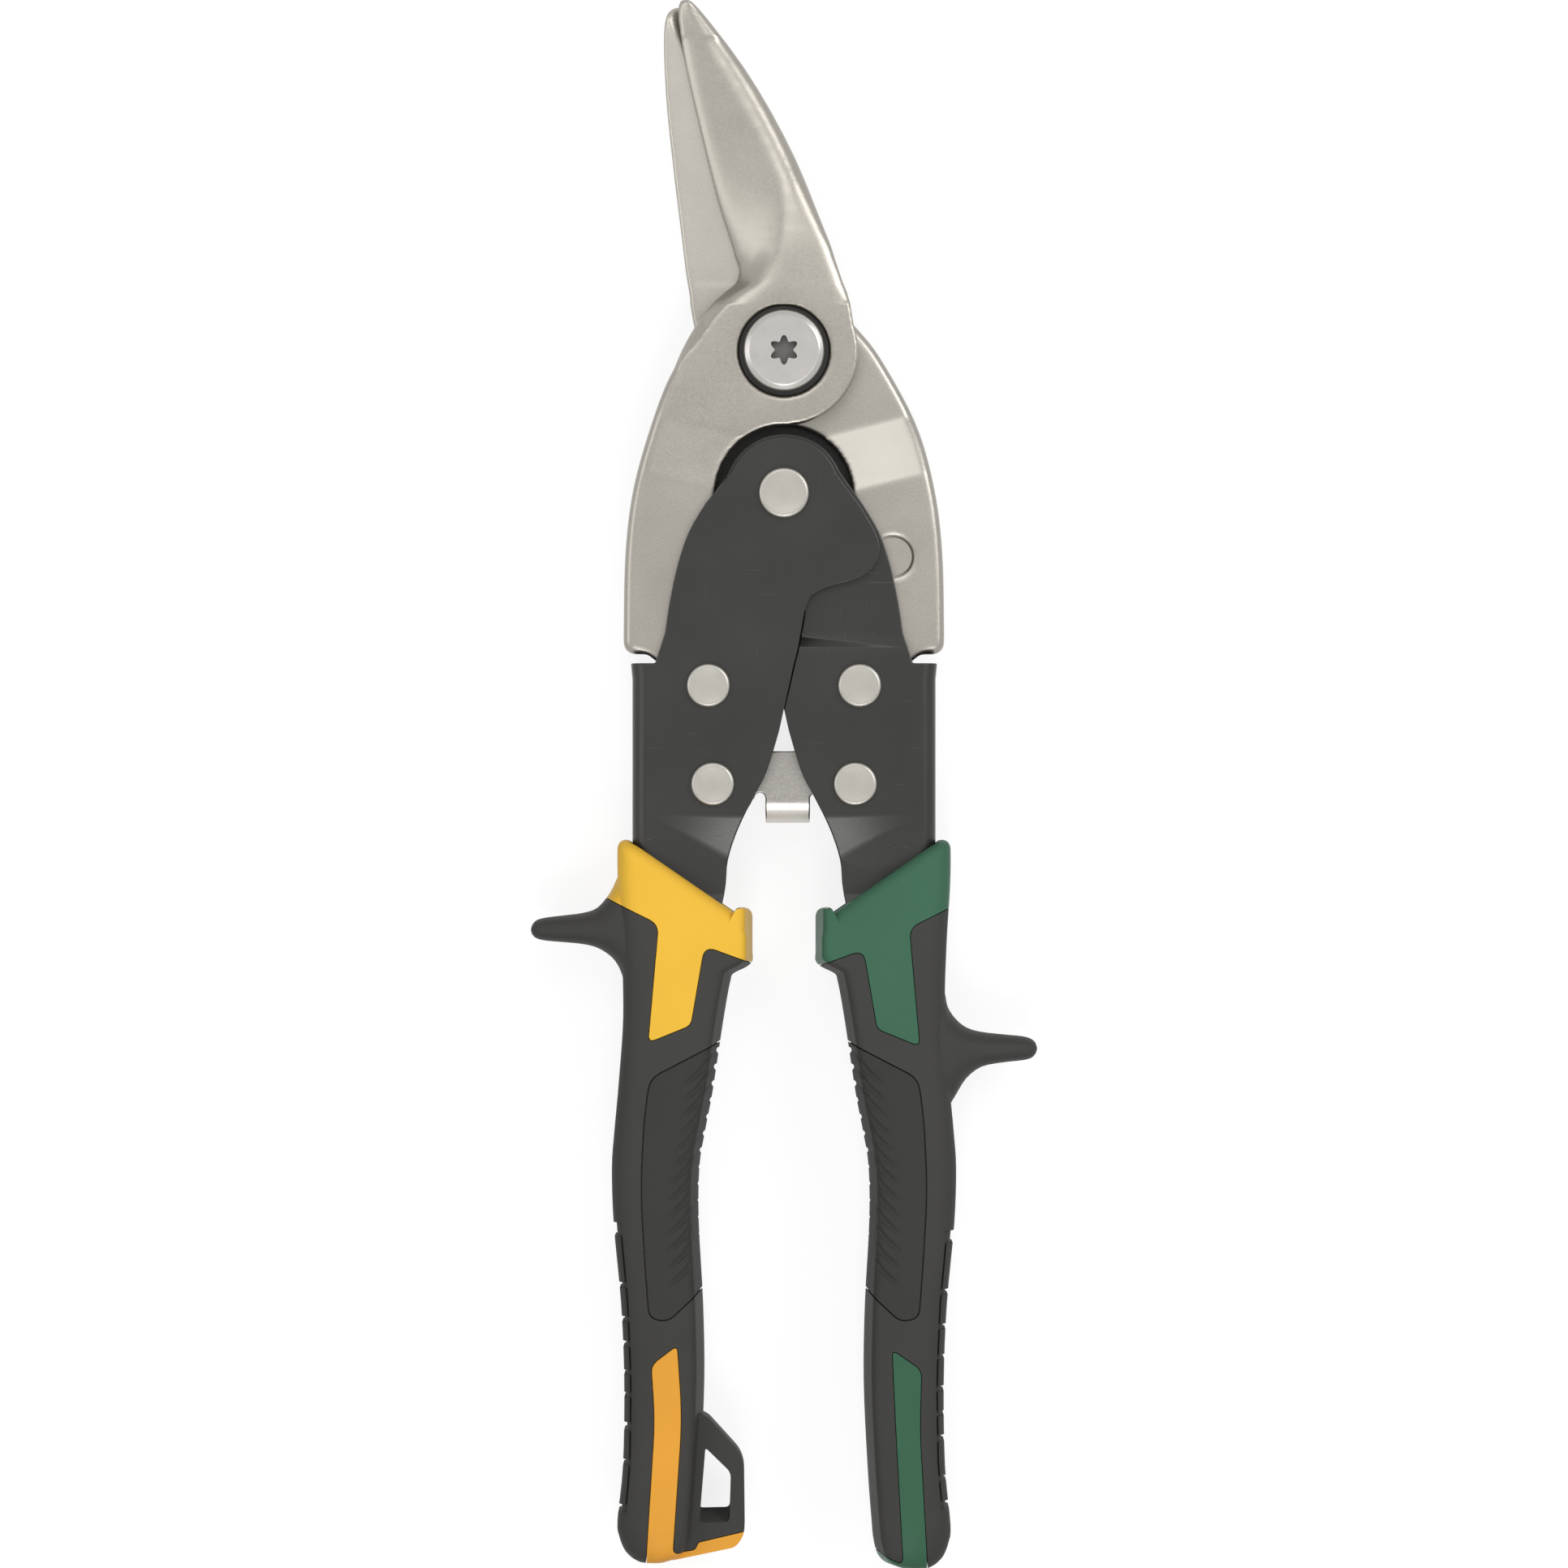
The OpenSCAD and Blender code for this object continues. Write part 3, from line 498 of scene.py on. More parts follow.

# Handles. Each is one steel sheet folded to a channel, with its ears lapped over the other handle and
# its neck pinched to go into the grip. They are blackened in a hot bath, and the sheared rims show grey.
# The back ear of the right handle has a thin dark flange, put there so that the crescent between the blades
# shows dark: it stands in for the shade in that gap.
OXIDE = (0.036, 0.0355, 0.034)
OXIDE_BUMP = 0.006 * MM
SCRATCH = (0.14, 0.135, 0.13)
RIM_GREY = (0.13, 0.13, 0.128)
RIM_BUMP = 0.01 * MM
HANDLE_EDGE = 0.24 * MM
SEAM_EDGE = 0.06 * MM
SEAM_HALF = 3.6 * MM
SEAM_RUN = (11 * MM, 29 * MM)
WEB_INSIDE = 22.2 * MM
# The flange: a thin dark ring that stands in for the shade seen through the crescent between the blades.
FLANGE = 0.75 * MM
FLANGE_LIFT = 0.1 * MM
FLANGE_SLACK = 0.01 * MM
FLANGE_REACH = (7.5 * MM, 12.4 * MM)
EAR_REACH = 15 * MM
ear = middle_of("handle_rivet")


def black_oxide(name):
    """Blackened sheet steel: satin, faintly cloudy, with hair scratches along and across the tool."""
    oxide = Finish(name, Metallic=0.55)
    cloud = oxide.noise(14 * MM, detail=4.0)
    grain = oxide.noise(0.3 * MM)
    along = oxide.noise(0.22 * MM, detail=1.0, stretch=(1.0, 0.025, 1.0))
    across = oxide.noise(0.25 * MM, detail=1.0, stretch=(0.03, 1.0, 1.0))
    patch = oxide.step(oxide.noise(16 * MM, detail=2.0), 0.48, 0.62)
    scratch = oxide.step(along, 0.70, 0.78) * patch + oxide.step(across, 0.73, 0.80) * (1 - patch)
    skin = oxide.blend(cloud * 0.7 + grain * 0.3, shaded(OXIDE, 0.8), shaded(OXIDE, 1.25))
    oxide.set({
        "Base Color": oxide.blend(scratch * 0.2, skin, SCRATCH),
        "Roughness": cloud * 0.14 + grain * 0.1 + 0.205,
        "Normal": oxide.bump(grain * 0.5 - scratch, OXIDE_BUMP),
    })
    return oxide


def sheared_rim(name):
    """The cut edge of the sheet, drawn out by the punch and only thinly blackened."""
    rim = Finish(name, Metallic=0.7)
    streak = rim.noise(0.25 * MM, stretch=(1.0, 1.0, 0.06))
    worn = rim.noise(5 * MM, detail=3.0)
    rim.set({
        "Base Color": rim.blend(streak * 0.5 + worn * 0.5, shaded(RIM_GREY, 0.55), shaded(RIM_GREY, 1.4)),
        "Roughness": streak * 0.25 + 0.3,
        "Normal": rim.bump(streak, RIM_BUMP),
    })
    return rim


def along_seam(middle, edge):
    """Picks the edges where the two plates of one side meet along the middle of the tool."""
    return abs(middle.x) < SEAM_HALF and SEAM_RUN[0] < middle.y < SEAM_RUN[1]


def with_shade_flange(bm):
    """The right handle with a thin dark ring joined to its back ear, standing in for the shade in the
    crescent between the blades, and the flat faces there made whole.
    """
    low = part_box("right_handle")[0].z + FLANGE_LIFT
    high = low + FLANGE
    inner, outer = FLANGE_REACH
    ring = turn([(inner, low), (outer, low), (outer, high), (inner, high), (inner, low)], ear)
    bm = cut(bm, ring, "UNION")
    near = [v for v in bm.verts if low - FLANGE_SLACK < v.co.z < high + FLANGE_SLACK
            and (v.co - ear).xy.length < EAR_REACH]
    edges = list(dict.fromkeys(e for v in near for e in v.link_edges))
    bmesh.ops.dissolve_limit(bm, angle_limit=math.radians(0.3), verts=near, edges=edges)
    return bm


rim_steel = sheared_rim("sheared_rim")
for node in ("right_handle", "left_handle"):
    bm = bench_copy(node)
    for face in bm.faces:
        if abs(face.normal.z) < 0.25 and abs(face.calc_center_median().x) < WEB_INSIDE:
            face.material_index = 1
    break_edges(bm, SEAM_EDGE, steps=1, turn=50, where=along_seam)
    break_edges(bm, HANDLE_EDGE, turn=50)
    if node == "right_handle":
        bm = with_shade_flange(bm)
    fit(node + "_stamping", bm, [black_oxide(node + "_oxide"), rim_steel], [node], flat=True)

# Rivets. Five headed pins of plated steel: one holds the two handles together, two carry the tangs of
# the blades and two carry the latch. The heads are pressed flat, with a bright rolled rim.
RIVET_STEEL = (0.41, 0.395, 0.36)
RIVET_EDGE = [(0, 0.55), (0.14, 0.22), (0.34, 0.06), (0.55, 0), (0.85, 0.05)]
RIVET_DISH = 0.09
SHANK_SHARE = 0.7
PLATE_FACE = 6.5 * MM
RIVETS = ["handle_rivet", "left_tang_rivet", "right_tang_rivet", "left_latch_rivet", "right_latch_rivet"]


def rivet_profile(low, high, head):
    """Half the outline of a rivet with two equal heads, from its lowest to its highest point."""
    middle = (low + high) / 2
    shank, plate = head * SHANK_SHARE, middle + PLATE_FACE
    half = [(shank, middle), (shank, plate), (head, plate), *head_profile(head, high, RIVET_EDGE, RIVET_DISH)]
    return [(radius, 2 * middle - height) for radius, height in reversed(half[1:])] + half


for node in RIVETS:
    low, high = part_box(node)
    bm = turn(rivet_profile(low.z, high.z, (high.x - low.x) / 2), middle_of(node))
    steel = turned_steel(node + "_steel", RIVET_STEEL, middle_of(node), 0.36)
    fit(node + "_pin", bm, [steel], [node], crease=32, flat=True)

# Spacers, bush and spring. Plain rings keep the tangs and the latch in the middle of the channel, and
# the return spring is one drawn wire coiled round a bush on the handle rivet, a leg down each handle.
DULL_STEEL = (0.30, 0.295, 0.28)
WIRE_STEEL = (0.36, 0.35, 0.335)
WIRE_RADIUS = 0.6 * MM
COIL_RADIUS = 6.0 * MM
COIL_TURNS = 2.5
STEPS_PER_TURN = 36
WIRE_SIDES = 12
LEG_START = 4 * MM
LEG_DROP = 19 * MM
LEG_SPREAD = 6.7 * MM
RING_EDGE = 0.12 * MM
RINGS = ["left_tang_spacer", "right_tang_spacer", "front_latch_spacer", "back_latch_spacer", "spring_bush"]


def loft(rings):
    """A closed skin through equal rings of points: the end face is extruded from ring to ring."""
    bm = bmesh.new()
    end = bm.faces.new([bm.verts.new(p) for p in rings[0]])
    for i, ring in enumerate(rings[1:]):
        made = bmesh.ops.extrude_face_region(bm, geom=[end])["geom"]
        if i > 0:
            bmesh.ops.delete(bm, geom=[end], context="FACES_ONLY")
        end = next(f for f in made if isinstance(f, bmesh.types.BMFace))
        for vert, point in zip(end.verts, ring):
            vert.co = point
    bmesh.ops.recalc_face_normals(bm, faces=bm.faces)
    return bm


def tube(path, radius, sides, upright):
    """Rings of a round bar that follows a path and is nowhere in line with the upright."""
    rings = []
    for i, point in enumerate(path):
        along = (path[min(i + 1, len(path) - 1)] - path[max(i - 1, 0)]).normalized()
        across = along.cross(upright).normalized()
        up = across.cross(along)
        angles = [math.tau * j / sides for j in range(sides)]
        rings.append([point + radius * (math.cos(a) * across + math.sin(a) * up) for a in angles])
    return rings


for node in RINGS:
    bm = bench_copy(node)
    break_edges(bm, RING_EDGE, turn=50)
    fit(node + "_ring", bm, [turned_steel(node + "_steel", DULL_STEEL, middle_of(node), 0.42)], [node],
        flat=True)

coil_low, coil_high = (corner.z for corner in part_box("return_spring"))
rise = coil_high - coil_low - 2 * WIRE_RADIUS
steps = int(COIL_TURNS * STEPS_PER_TURN)
path = [(-LEG_SPREAD, -LEG_DROP, -rise / 2), (-COIL_RADIUS, -LEG_START, -rise / 2)]
for i in range(steps + 1):
    angle = math.pi - math.tau * COIL_TURNS * i / steps
    path.append((COIL_RADIUS * math.cos(angle), COIL_RADIUS * math.sin(angle), rise * (i / steps - 0.5)))
path += [(COIL_RADIUS, -LEG_START, rise / 2), (LEG_SPREAD, -LEG_DROP, rise / 2)]
bm = loft(tube([ear + Vector(point) for point in path], WIRE_RADIUS, WIRE_SIDES, (0.0, 0.0, 1.0)))
wire = Finish("spring_wire", Metallic=1.0)
drawn = wire.noise(0.15 * MM, stretch=(1.0, 1.0, 0.3))
wire.set({
    "Base Color": wire.blend(drawn, shaded(WIRE_STEEL, 0.7), shaded(WIRE_STEEL, 1.2)),
    "Roughness": drawn * 0.2 + 0.25,
})
fit("return_spring_wire", bm, [wire], ["return_spring"], crease=60)

# Latch. A thick steel stamping on the left latch rivet, with a hook for the other rivet and a thumb
# tab folded back between two relief notches. It is tumbled, so every corner is soft and bright.
LATCH_STEEL = (0.29, 0.278, 0.2587)
LATCH_MERGE = 0.03 * MM
LATCH_EDGE = 0.25 * MM
# The thumb tab is painted lighter past its fold, between these heights: a painted highlight on the bend.
TAB_RUN = (-2.9 * MM, -3.6 * MM)
TAB_SHEEN_SHARE = 0.65
TAB_SHEEN_GAIN = 2.2
bm = bench_copy("latch", merge=LATCH_MERGE)
break_edges(bm, LATCH_EDGE, steps=3)
# The latch steel, with its tab painted lighter as a painted highlight.
latch_steel = blasted_steel("latch_steel", LATCH_STEEL, TAB_SHEEN_SHARE, TAB_RUN, TAB_SHEEN_GAIN)
fit("latch_stamping", bm, [latch_steel], ["latch"], flat=True)

# Grips. Each is moulded twice: a hard coloured core, shot round the neck of the handle, shows as a
# collar with a stem and as a stripe at the end; a soft black cover with a hand guard and a ribbed pad
# goes over it. They are drawn in millimetres about the middle of the tool, for the right hand.
GRIP_HALF = 10.0
BEYOND = 14.0
INNER_SIDE = 5.1
OUTER_SIDE = 26.9
CORNER_STEPS = 6
SIDE_STEPS = 3
FACE_STEPS = 6
ARC_STEPS = 5
STATION_STEPS = 4
DRAFT = 1.15
INNER_ROUND = 1.7
OUTER_ROUND = 3.8
CROWN = 0.3
LIP_ROUND = 2.4
COVER_WALL = 1.9
PARTING = 0.07
PAD_PARTING = 0.03
PAD_GROOVE = 0.2
PAD_GROOVE_DEPTH = 0.45
LIP_END = (24.0, -9.8)
LIP_RUN = (-0.824, -0.566)
LIP_SLANT = 1.25
LEFT_LIFT = 0.6
LEFT_SHORT = (105, 127)
FILLING_RUN = (-124, -27)
POCKET_MOUTH = [(7.2, 5), (24.75, 5), (24.75, -26.3), (7.2, -26.3)]
POCKET_NECK = [(11.5, -20), (24.4, -20), (23.2, -66), (18.2, -66)]
MOUTH_HALF = 6.72
NECK_HALF = 3.2
LUG_RUN = (-15, -32)
LUG = [(10.2, -24.6, 0), (7.7, -20.1, 0.6), (5.1, -20.1, 1.5), (5.1, -28, 0), (10.2, -28, 0)]
GRIP_ROWS = [
    (5.1, -27.2, 26.9, -14.0, 10.0), (5.1, -28.6, 26.75, -18.0, 10.0), (6.05, -29.6, 26.5, -21.5, 10.0),
    (8.2, -30.7, 26.3, -25.0, 9.95), (8.65, -31.8, 26.15, -28.5, 9.85), (9.2, -34.5, 26.0, -33.0, 9.65),
    (10.1, -40.0, 26.05, -39.5, 9.5), (11.6, -50.0, 26.85, -50.0, 9.75), (12.75, -56.0, 27.4, -56.0, 9.9),
    (13.7, -62.0, 27.8, -62.0, 10.0), (13.8, -71.0, 27.5, -71.0, 10.0), (13.1, -84.0, 26.3, -84.0, 10.0),
    (12.9, -96.5, 25.8, -96.5, 10.0), (13.5, -110.0, 26.0, -110.0, 10.0), (14.2, -119.6, 26.9, -119.6, 9.75),
    (14.5, -122.4, 26.6, -122.4, 9.3), (15.1, -124.6, 25.8, -124.6, 8.7), (16.2, -125.9, 24.7, -125.9, 7.9),
    (17.8, -126.6, 23.5, -126.6, 6.9), (18.6, -126.8, 22.6, -126.8, 6.2),
]
COLLAR_ZONE = [(2, 20, 0), (44, 20, 0), (44, -11.5, 0), (20.2, -23.2, 1.7), (21.9, -42.3, 1.3),
               (15.0, -39.5, 1.0), (12.8, -26.7, 2.0), (2, -30.7, 0)]
PAD_ZONE = [(2, -37.2, 0), (21.7, -47.4, 2.0), (22.6, -54, 3), (23.2, -65.5, 6), (22.3, -80, 4),
            (21.8, -86.1, 1.5), (18.7, -86.7, 1.4), (6, -74.9, 0), (2, -74.9, 0)]
END_ZONES = {
    "left": [(17.2, -90.4, 1.1), (21.4, -93.6, 1.3), (20.8, -102.4, 4), (22.4, -128, 0), (2, -128, 0),
             (2, -119.7, 0), (13.9, -122.5, 0.4), (14.3, -123.7, 0.7), (17.9, -124.2, 1.1),
             (16.4, -102, 5)],
    "right": [(17.4, -91.1, 1.1), (22.2, -94.4, 1.3), (21.9, -104, 4), (23.3, -129, 0), (10, -129, 0),
              (10, -121.3, 0), (14.8, -123.8, 0.8), (19.2, -126.0, 1.4), (18.0, -104, 5)],
}
GUARD_ROWS = {
    "left": [(23, 13, 13, 8), (25.2, 11.8, 10.6, 8.2), (26.2, 10.2, 7.4, 8.2), (27, 8.5, 5.6, 8.1),
             (28.2, 6.0, 4.2, 7.8), (30.2, 3.6, 2.95, 7.1), (32.5, 2.75, 2.35, 6.5), (35.5, 2.35, 2.05, 5.9),
             (38.4, 2.0, 1.8, 5.0), (40, 1.6, 1.45, 4.3), (40.7, 0.95, 0.9, 3.4), (40.95, 0.3, 0.3, 2.4)],
    "right": [(23, 12, 13.5, 8), (25, 11, 12, 8.2), (26, 9.2, 11, 8.2), (26.5, 6.8, 9.8, 8.1),
              (27.7, 4.9, 7.8, 7.8), (29.5, 3.4, 4.9, 7.1), (32, 2.65, 3.0, 6.5), (35.5, 2.25, 2.3, 5.9),
              (38.6, 1.95, 1.95, 5.0), (40, 1.55, 1.6, 4.3), (40.7, 0.95, 0.95, 3.4), (40.95, 0.3, 0.3, 2.4)],
}
GUARD_HEIGHT = {"left": -23.6, "right": -42.8}
GUARD_SQUARE = 0.82
GUARD_SIDES = 40
GUARD_STEPS = 3
STRIP_WIDTH = 1.3
STRIP_LINE = 0.3
STRIP_STEPS = 12
NOTCH_DEPTH = 0.5
NOTCH_REACH = 5.0
NOTCH_FLARE = 0.4
STRIP_NOTCHES = {
    "left": [(71.8, 2.1), (80.8, 0.8), (86.3, 0.8), (90.3, 0.9), (94.9, 0.7), (98.5, 0.7), (103.6, 1.3),
             (109.4, 0.9), (116.8, 1.2)],
    "right": [(73.0, 1.9), (81.9, 0.8), (87.5, 0.8), (92.4, 0.7), (97.5, 0.8), (101.5, 0.7), (105.5, 1.0),
              (112.0, 0.9), (116.2, 1.2)],
}
GROOVE_START = -44.0
GROOVE_COUNT = 13
GROOVE_PITCH = 2.7
GROOVE_RADIUS = 0.6
GROOVE_SIDES = 8
GROOVE_STEPS = 3
GROOVE_BEND = [(5.6, -4.9, 10.75), (4.2, -3.7, 10.25), (2.6, -2.2, 9.9), (1.3, -0.7, 9.4), (0.5, 0.3, 7.6),
               (-0.05, 0.7, 4.5), (-0.47, 0.9, 0.0)]
LOOP_EDGE = [(16, -99, 0), (14.2, -101.6, 1), (12.6, -101.9, 1.2), (6.5, -108.6, 2.2), (6.35, -121.4, 1.6),
             (7.9, -123.3, 0.8), (18, -125.4, 0), (18, -110, 0)]
LOOP_HOLE = [(12.7, -107.2, 0.6), (8.6, -111.2, 0.9), (8.8, -117.1, 0.8), (13.7, -117.2, 0.6)]
LOOP_HALF = 5.0
LOOP_RIM = 1.1
LOOP_WAIST = 4.4
LOOP_FOOT = (114, 117)
LOOP_DROP = 2.1
CORE_COLOURS = {"left": (0.875, 0.52, 0.058), "right": (0.058, 0.150, 0.094)}
END_COLOURS = {"left": (0.78, 0.36, 0.050), "right": (0.049, 0.130, 0.078)}
COVER_BLACK = (0.060, 0.059, 0.056)
COVER_END = (0.055, 0.054, 0.051)
PAD_BLACK = (0.048, 0.048, 0.046)
COLOUR_RUN = (-95 * MM, -40 * MM)
MOULD_CLOUD = 13 * MM
MOULD_GRAIN = 0.28 * MM


def through(rows, steps):
    """A smooth run through the rows, with this many steps from each one to the next."""
    rows = [Vector(row) for row in rows]
    run = []
    for i in range(len(rows) - 1):
        a, b, c, d = (rows[max(0, min(j, len(rows) - 1))] for j in (i - 1, i, i + 1, i + 2))
        for t in (k / steps for k in range(steps)):
            run.append((2 * b + (c - a) * t + (2 * a - 5 * b + 4 * c - d) * t * t
                        + (3 * b - a - 3 * c + d) * t * t * t) / 2)
    return run + [rows[-1]]


def rounded(corners):
    """An outline from corners given as (x, y, length of side taken by the rounding)."""
    outline = []
    for i, (x, y, reach) in enumerate(corners):
        here = Vector((x, y))
        if reach == 0:
            outline.append(here)
            continue
        start = here + (Vector(corners[i - 1][:2]) - here).normalized() * reach
        stop = here + (Vector(corners[(i + 1) % len(corners)][:2]) - here).normalized() * reach
        for t in (k / CORNER_STEPS for k in range(CORNER_STEPS + 1)):
            outline.append(start.lerp(here, t).lerp(here.lerp(stop, t), t))
    return outline


def grown(outline, by):
    """The outline moved outward by a distance, or inward where that is negative."""
    count = len(outline)
    twice_area = sum(outline[i - 1].cross(outline[i]) for i in range(count))
    moved = []
    for i, point in enumerate(outline):
        before = (point - outline[i - 1]).normalized()
        after = (outline[(i + 1) % count] - point).normalized()
        along = (before + after).normalized()
        reach = by / max(0.4, along.dot(after)) * math.copysign(1, twice_area)
        moved.append(point + Vector((along.y, -along.x)) * reach)
    return moved


def ease(value, low, high):
    share = max(0.0, min(1.0, (value - low) / (high - low)))
    return share * share * (3 - 2 * share)


def lip_rows():
    """The first stations of a grip: slanted rings that round over from the mouth to the sides."""
    run, end = Vector(LIP_RUN), Vector(LIP_END)
    down = Vector((-run.y, run.x))
    rows = []
    for angle in (math.radians(a) for a in range(0, 91, 15)):
        drawn_in = LIP_ROUND * (1 - math.sin(angle))
        start = end + down * LIP_ROUND * (1 - math.cos(angle))
        outer = start + run * ((OUTER_SIDE - start.x) / run.x + LIP_SLANT * drawn_in)
        inner = start + run * ((INNER_SIDE - start.x) / run.x - drawn_in)
        rows.append((*inner, *outer, GRIP_HALF - drawn_in))
    return rows


def section(row, wall):
    """The outline across a grip at one station, drafted on its inner side and drawn in by a wall."""
    inner, outer = Vector(row[0:2]), Vector(row[2:4])
    along = (outer - inner).normalized()
    inner, width, half = inner + along * wall, (outer - inner).length - 2 * wall, row[4] - wall
    small = max(0.3, min(INNER_ROUND - wall, 0.3 * width))
    large = max(0.6, min(OUTER_ROUND - wall, 0.4 * width))
    foot = half - CROWN
    quarter = [math.radians(90 * k / ARC_STEPS) for k in range(ARC_STEPS + 1)]
    path = [(DRAFT * k / SIDE_STEPS, (foot - small) * k / SIDE_STEPS) for k in range(SIDE_STEPS)]
    path += [(DRAFT + small - small * math.cos(a), foot - small + small * math.sin(a)) for a in quarter]
    flat = width - large - DRAFT - small
    path += [(DRAFT + small + flat * share, foot + CROWN * (1 - (2 * share - 1) ** 2))
             for share in (k / FACE_STEPS for k in range(1, FACE_STEPS))]
    path += [(width - large + large * math.sin(a), foot - large + large * math.cos(a)) for a in quarter]
    path += [(width, (foot - large) / 2), (width, 0)]
    path += [(s, -z) for s, z in reversed(path[1:-1])]
    return [(*(inner + along * s), z) for s, z in path]


def grip_rows(side):
    """Stations from the mouth to the end, with the left grip a little short."""
    rows = []
    for row in through(lip_rows() + GRIP_ROWS, STATION_STEPS):
        if side == "left":
            row[1] += ease(-row[1], *LEFT_SHORT)
            row[3] += ease(-row[3], *LEFT_SHORT)
        rows.append(row)
    return rows


def guard(side):
    """The hand guard, drawn out from a flared root inside the grip to a thin round tip."""
    angles = [math.tau * k / GUARD_SIDES for k in range(GUARD_SIDES)]
    spokes = [[math.copysign(abs(c) ** GUARD_SQUARE, c) for c in (math.cos(a), math.sin(a))] for a in angles]
    rings = []
    for x, up, down, deep in through(GUARD_ROWS[side], GUARD_STEPS):
        rings.append([(x, GUARD_HEIGHT[side] + c * (up if c > 0 else down), s * deep) for c, s in spokes])
    return loft(rings)


def join(first, *others):
    for other in others:
        first = cut(first, other, "UNION", "MANIFOLD")
    return first


def less(first, *others):
    for other in others:
        first = cut(first, other, "DIFFERENCE", "MANIFOLD")
    return first


def shared(first, second):
    return cut(first, second, "INTERSECT", "MANIFOLD")


def lug():
    """The raised end of the mouth on the inner side of a collar, flush with the grip."""
    reach = loft([section((INNER_SIDE, y, OUTER_SIDE, y, GRIP_HALF), 0) for y in LUG_RUN])
    return shared(prism(rounded(LUG), -BEYOND, BEYOND), reach)


def outer_side(y):
    """Where the outer side of a grip is at a height."""
    rows = GRIP_ROWS
    upper = max(i for i in range(len(rows) - 1) if rows[i][3] >= y)
    share = (y - rows[upper][3]) / (rows[upper + 1][3] - rows[upper][3])
    return rows[upper][2] + share * (rows[upper + 1][2] - rows[upper][2])


def strip_cuts(side):
    """The shallow cuts of the outer strip: a fine line along its border and the notches between blocks."""
    notches = STRIP_NOTCHES[side]
    first, last = notches[0][0], notches[-1][0]
    heights = [-first - (last - first) * k / STRIP_STEPS for k in range(STRIP_STEPS + 1)]
    border = [Vector((outer_side(y) - STRIP_WIDTH, y)) for y in heights]
    edge = [p + Vector((STRIP_LINE, 0)) for p in border]
    tools = [prism(border + edge[::-1], -BEYOND, BEYOND)]
    for at, gap in notches:
        x, half = outer_side(-at) - STRIP_WIDTH, gap / 2
        corners = [(x, -at - half), (x + NOTCH_REACH, -at - half - NOTCH_FLARE),
                   (x + NOTCH_REACH, -at + half + NOTCH_FLARE), (x, -at + half)]
        tools.append(prism(corners, -BEYOND, BEYOND))
    return less(join(*tools), loft([section(row, NOTCH_DEPTH) for row in grip_rows(side)]))


def grooves(side):
    """Bent cutters for the pad: each fades in on one face, comes round the inner side and fades out."""
    parts = []
    rows = grip_rows(side)
    for y in (GROOVE_START - GROOVE_PITCH * k for k in range(GROOVE_COUNT)):
        row = min(rows, key=lambda row: abs(row[1] - y))
        edge, face = row[0], row[4] - GRIP_HALF
        front = [Vector((edge + x, y + rise, face + z)) for x, rise, z in GROOVE_BEND]
        front[-1].z = 0.0
        back = [Vector((p.x, p.y, -p.z)) for p in reversed(front[:-1])]
        path = through(front + back, GROOVE_STEPS)
        parts.append(loft(tube(path, GROOVE_RADIUS, GROOVE_SIDES, (0.0, 1.0, 0.0))))
    return parts


def loop():
    """The lanyard loop of the left grip: a thin frame with a rounded rim and a sloping foot to its hole."""
    bar = prism(rounded(LOOP_EDGE), -LOOP_HALF, LOOP_HALF)
    rim = [e for e in bar.edges if abs(e.verts[0].co.z - e.verts[1].co.z) < LOOP_HALF]
    bmesh.ops.bevel(bar, geom=rim, offset=LOOP_RIM, offset_type="OFFSET", segments=4, profile=0.5,
                    affect="EDGES", material=-1, clamp_overlap=True)
    tight = rounded(LOOP_HOLE)
    wide = [p + Vector((0, -LOOP_DROP * ease(-p.y, *LOOP_FOOT))) for p in tight]
    stations = [(wide, -BEYOND), (wide, -LOOP_WAIST), (tight, 0), (wide, LOOP_WAIST), (wide, BEYOND)]
    return less(bar, loft([[(*p, z) for p in outline] for outline, z in stations]))


def zone(corners, by, lift=0.0):
    """A block right through the grip under an outline, grown by a distance."""
    outline = [p + Vector((0, lift)) for p in rounded(corners)]
    return prism(grown(outline, by), -BEYOND, BEYOND)


def pocket():
    """The space in a core for the neck of a handle, wide at the mouth and thin below."""
    return join(prism(POCKET_MOUTH, -MOUTH_HALF, MOUTH_HALF), prism(POCKET_NECK, -NECK_HALF, NECK_HALF))


def shell(side, rows):
    """The whole outside of a grip, with its lug, its guard and, on the left, its lanyard loop."""
    shape = join(loft([section(row, 0) for row in rows]), lug(), guard(side))
    return join(shape, loop()) if side == "left" else shape


def filling(rows, by):
    """The inside of a core under the soft cover, drawn in by a distance."""
    return loft([section(row, COVER_WALL + by) for row in rows if FILLING_RUN[0] < row[1] < FILLING_RUN[1]])


def coloured(side, by):
    """The blocks under which a core comes to the outside: its collar and its stripe."""
    lift = LEFT_LIFT if side == "left" else 0.0
    return [zone(COLLAR_ZONE, by, lift), zone(END_ZONES[side], by)]


def in_place(bm, side):
    """Takes a grip piece drawn in millimetres for the right hand to its place on the tool."""
    sign = -1 if side == "left" else 1
    for v in bm.verts:
        v.co = (sign * v.co.x * MM, v.co.y * MM, v.co.z * MM + tool_middle)
    if sign < 0:
        bmesh.ops.reverse_faces(bm, faces=bm.faces)
    return bm


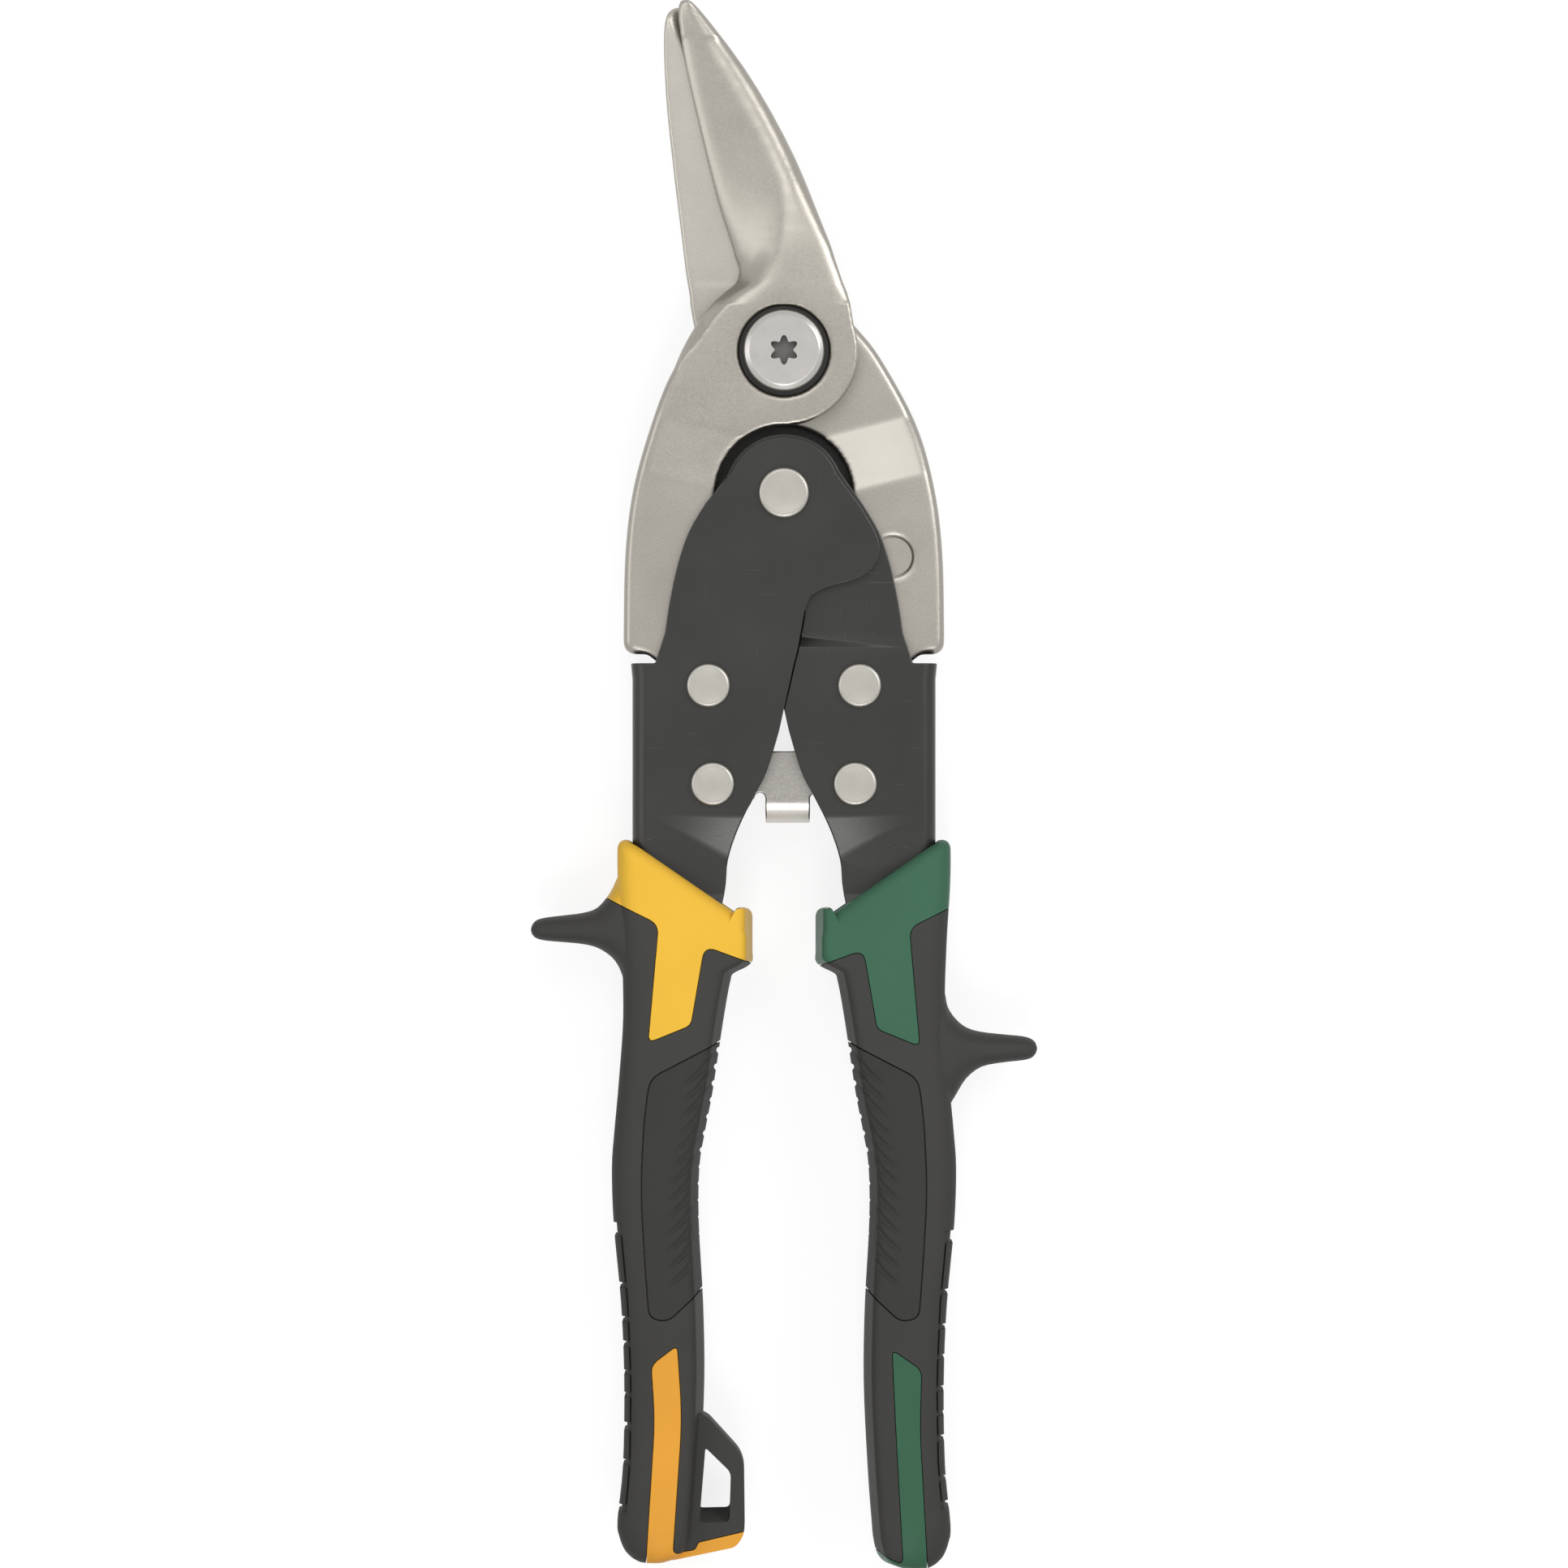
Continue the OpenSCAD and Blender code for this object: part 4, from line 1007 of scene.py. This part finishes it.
def moulded(name, colour, end_colour, roughness, grain, gloss):
    """Moulded plastic or rubber: a colour that may turn towards the end, with a fine eroded texture."""
    plastic = Finish(name, **{"Specular IOR Level": gloss})
    cloud = plastic.noise(MOULD_CLOUD, detail=3.0)
    texture = plastic.noise(MOULD_GRAIN, detail=2.0)
    up = plastic.step(plastic.node("SeparateXYZ", {}, {0: plastic.place}, output="Y"), *COLOUR_RUN)
    dark, light = (plastic.blend(up, shaded(end_colour, k), shaded(colour, k)) for k in (0.9, 1.1))
    plastic.set({
        "Base Color": plastic.blend(cloud * 0.7 + texture * 0.3, dark, light),
        "Roughness": cloud * 0.08 + texture * 0.1 + (roughness - 0.09),
        "Normal": plastic.bump(texture, grain),
    })
    return plastic


rubber = moulded("cover_rubber", COVER_BLACK, COVER_END, 0.55, 0.03 * MM, 0.06)
pad_rubber = moulded("pad_rubber", PAD_BLACK, PAD_BLACK, 0.60, 0.02 * MM, 0.06)
for side, slot in (("right", "green_core"), ("left", "yellow_core")):
    rows = grip_rows(side)
    collar, stripe = (shared(shell(side, rows), tool) for tool in coloured(side, -PARTING))
    core = less(join(filling(rows, PARTING), collar, stripe), pocket())
    cover = less(shell(side, rows), filling(rows, -PARTING), *coloured(side, PARTING),
                 zone(PAD_ZONE, PAD_PARTING), pocket(), strip_cuts(side))
    pad = shared(shell(side, rows), zone(PAD_ZONE, -PAD_GROOVE))
    bed = loft([section(row, PAD_GROOVE_DEPTH) for row in rows])
    pad = join(pad, shared(bed, zone(PAD_ZONE, -PAD_PARTING)))
    pad = less(pad, filling(rows, -PARTING), *grooves(side))
    plastic = moulded(side + "_core_plastic", CORE_COLOURS[side], END_COLOURS[side], 0.38, 0.01 * MM, 0.05)
    for kind, node, shape, finish, place in (
        ("core", "grip_core", core, plastic, slot), ("cover", "grip_cover", cover, rubber, "soft_cover"),
        ("pad", "palm_pad", pad, pad_rubber, "soft_pad"),
    ):
        fit(f"{side}_{kind}_moulding", in_place(shape, side), [finish], [f"{side}_{node}"], crease=34)
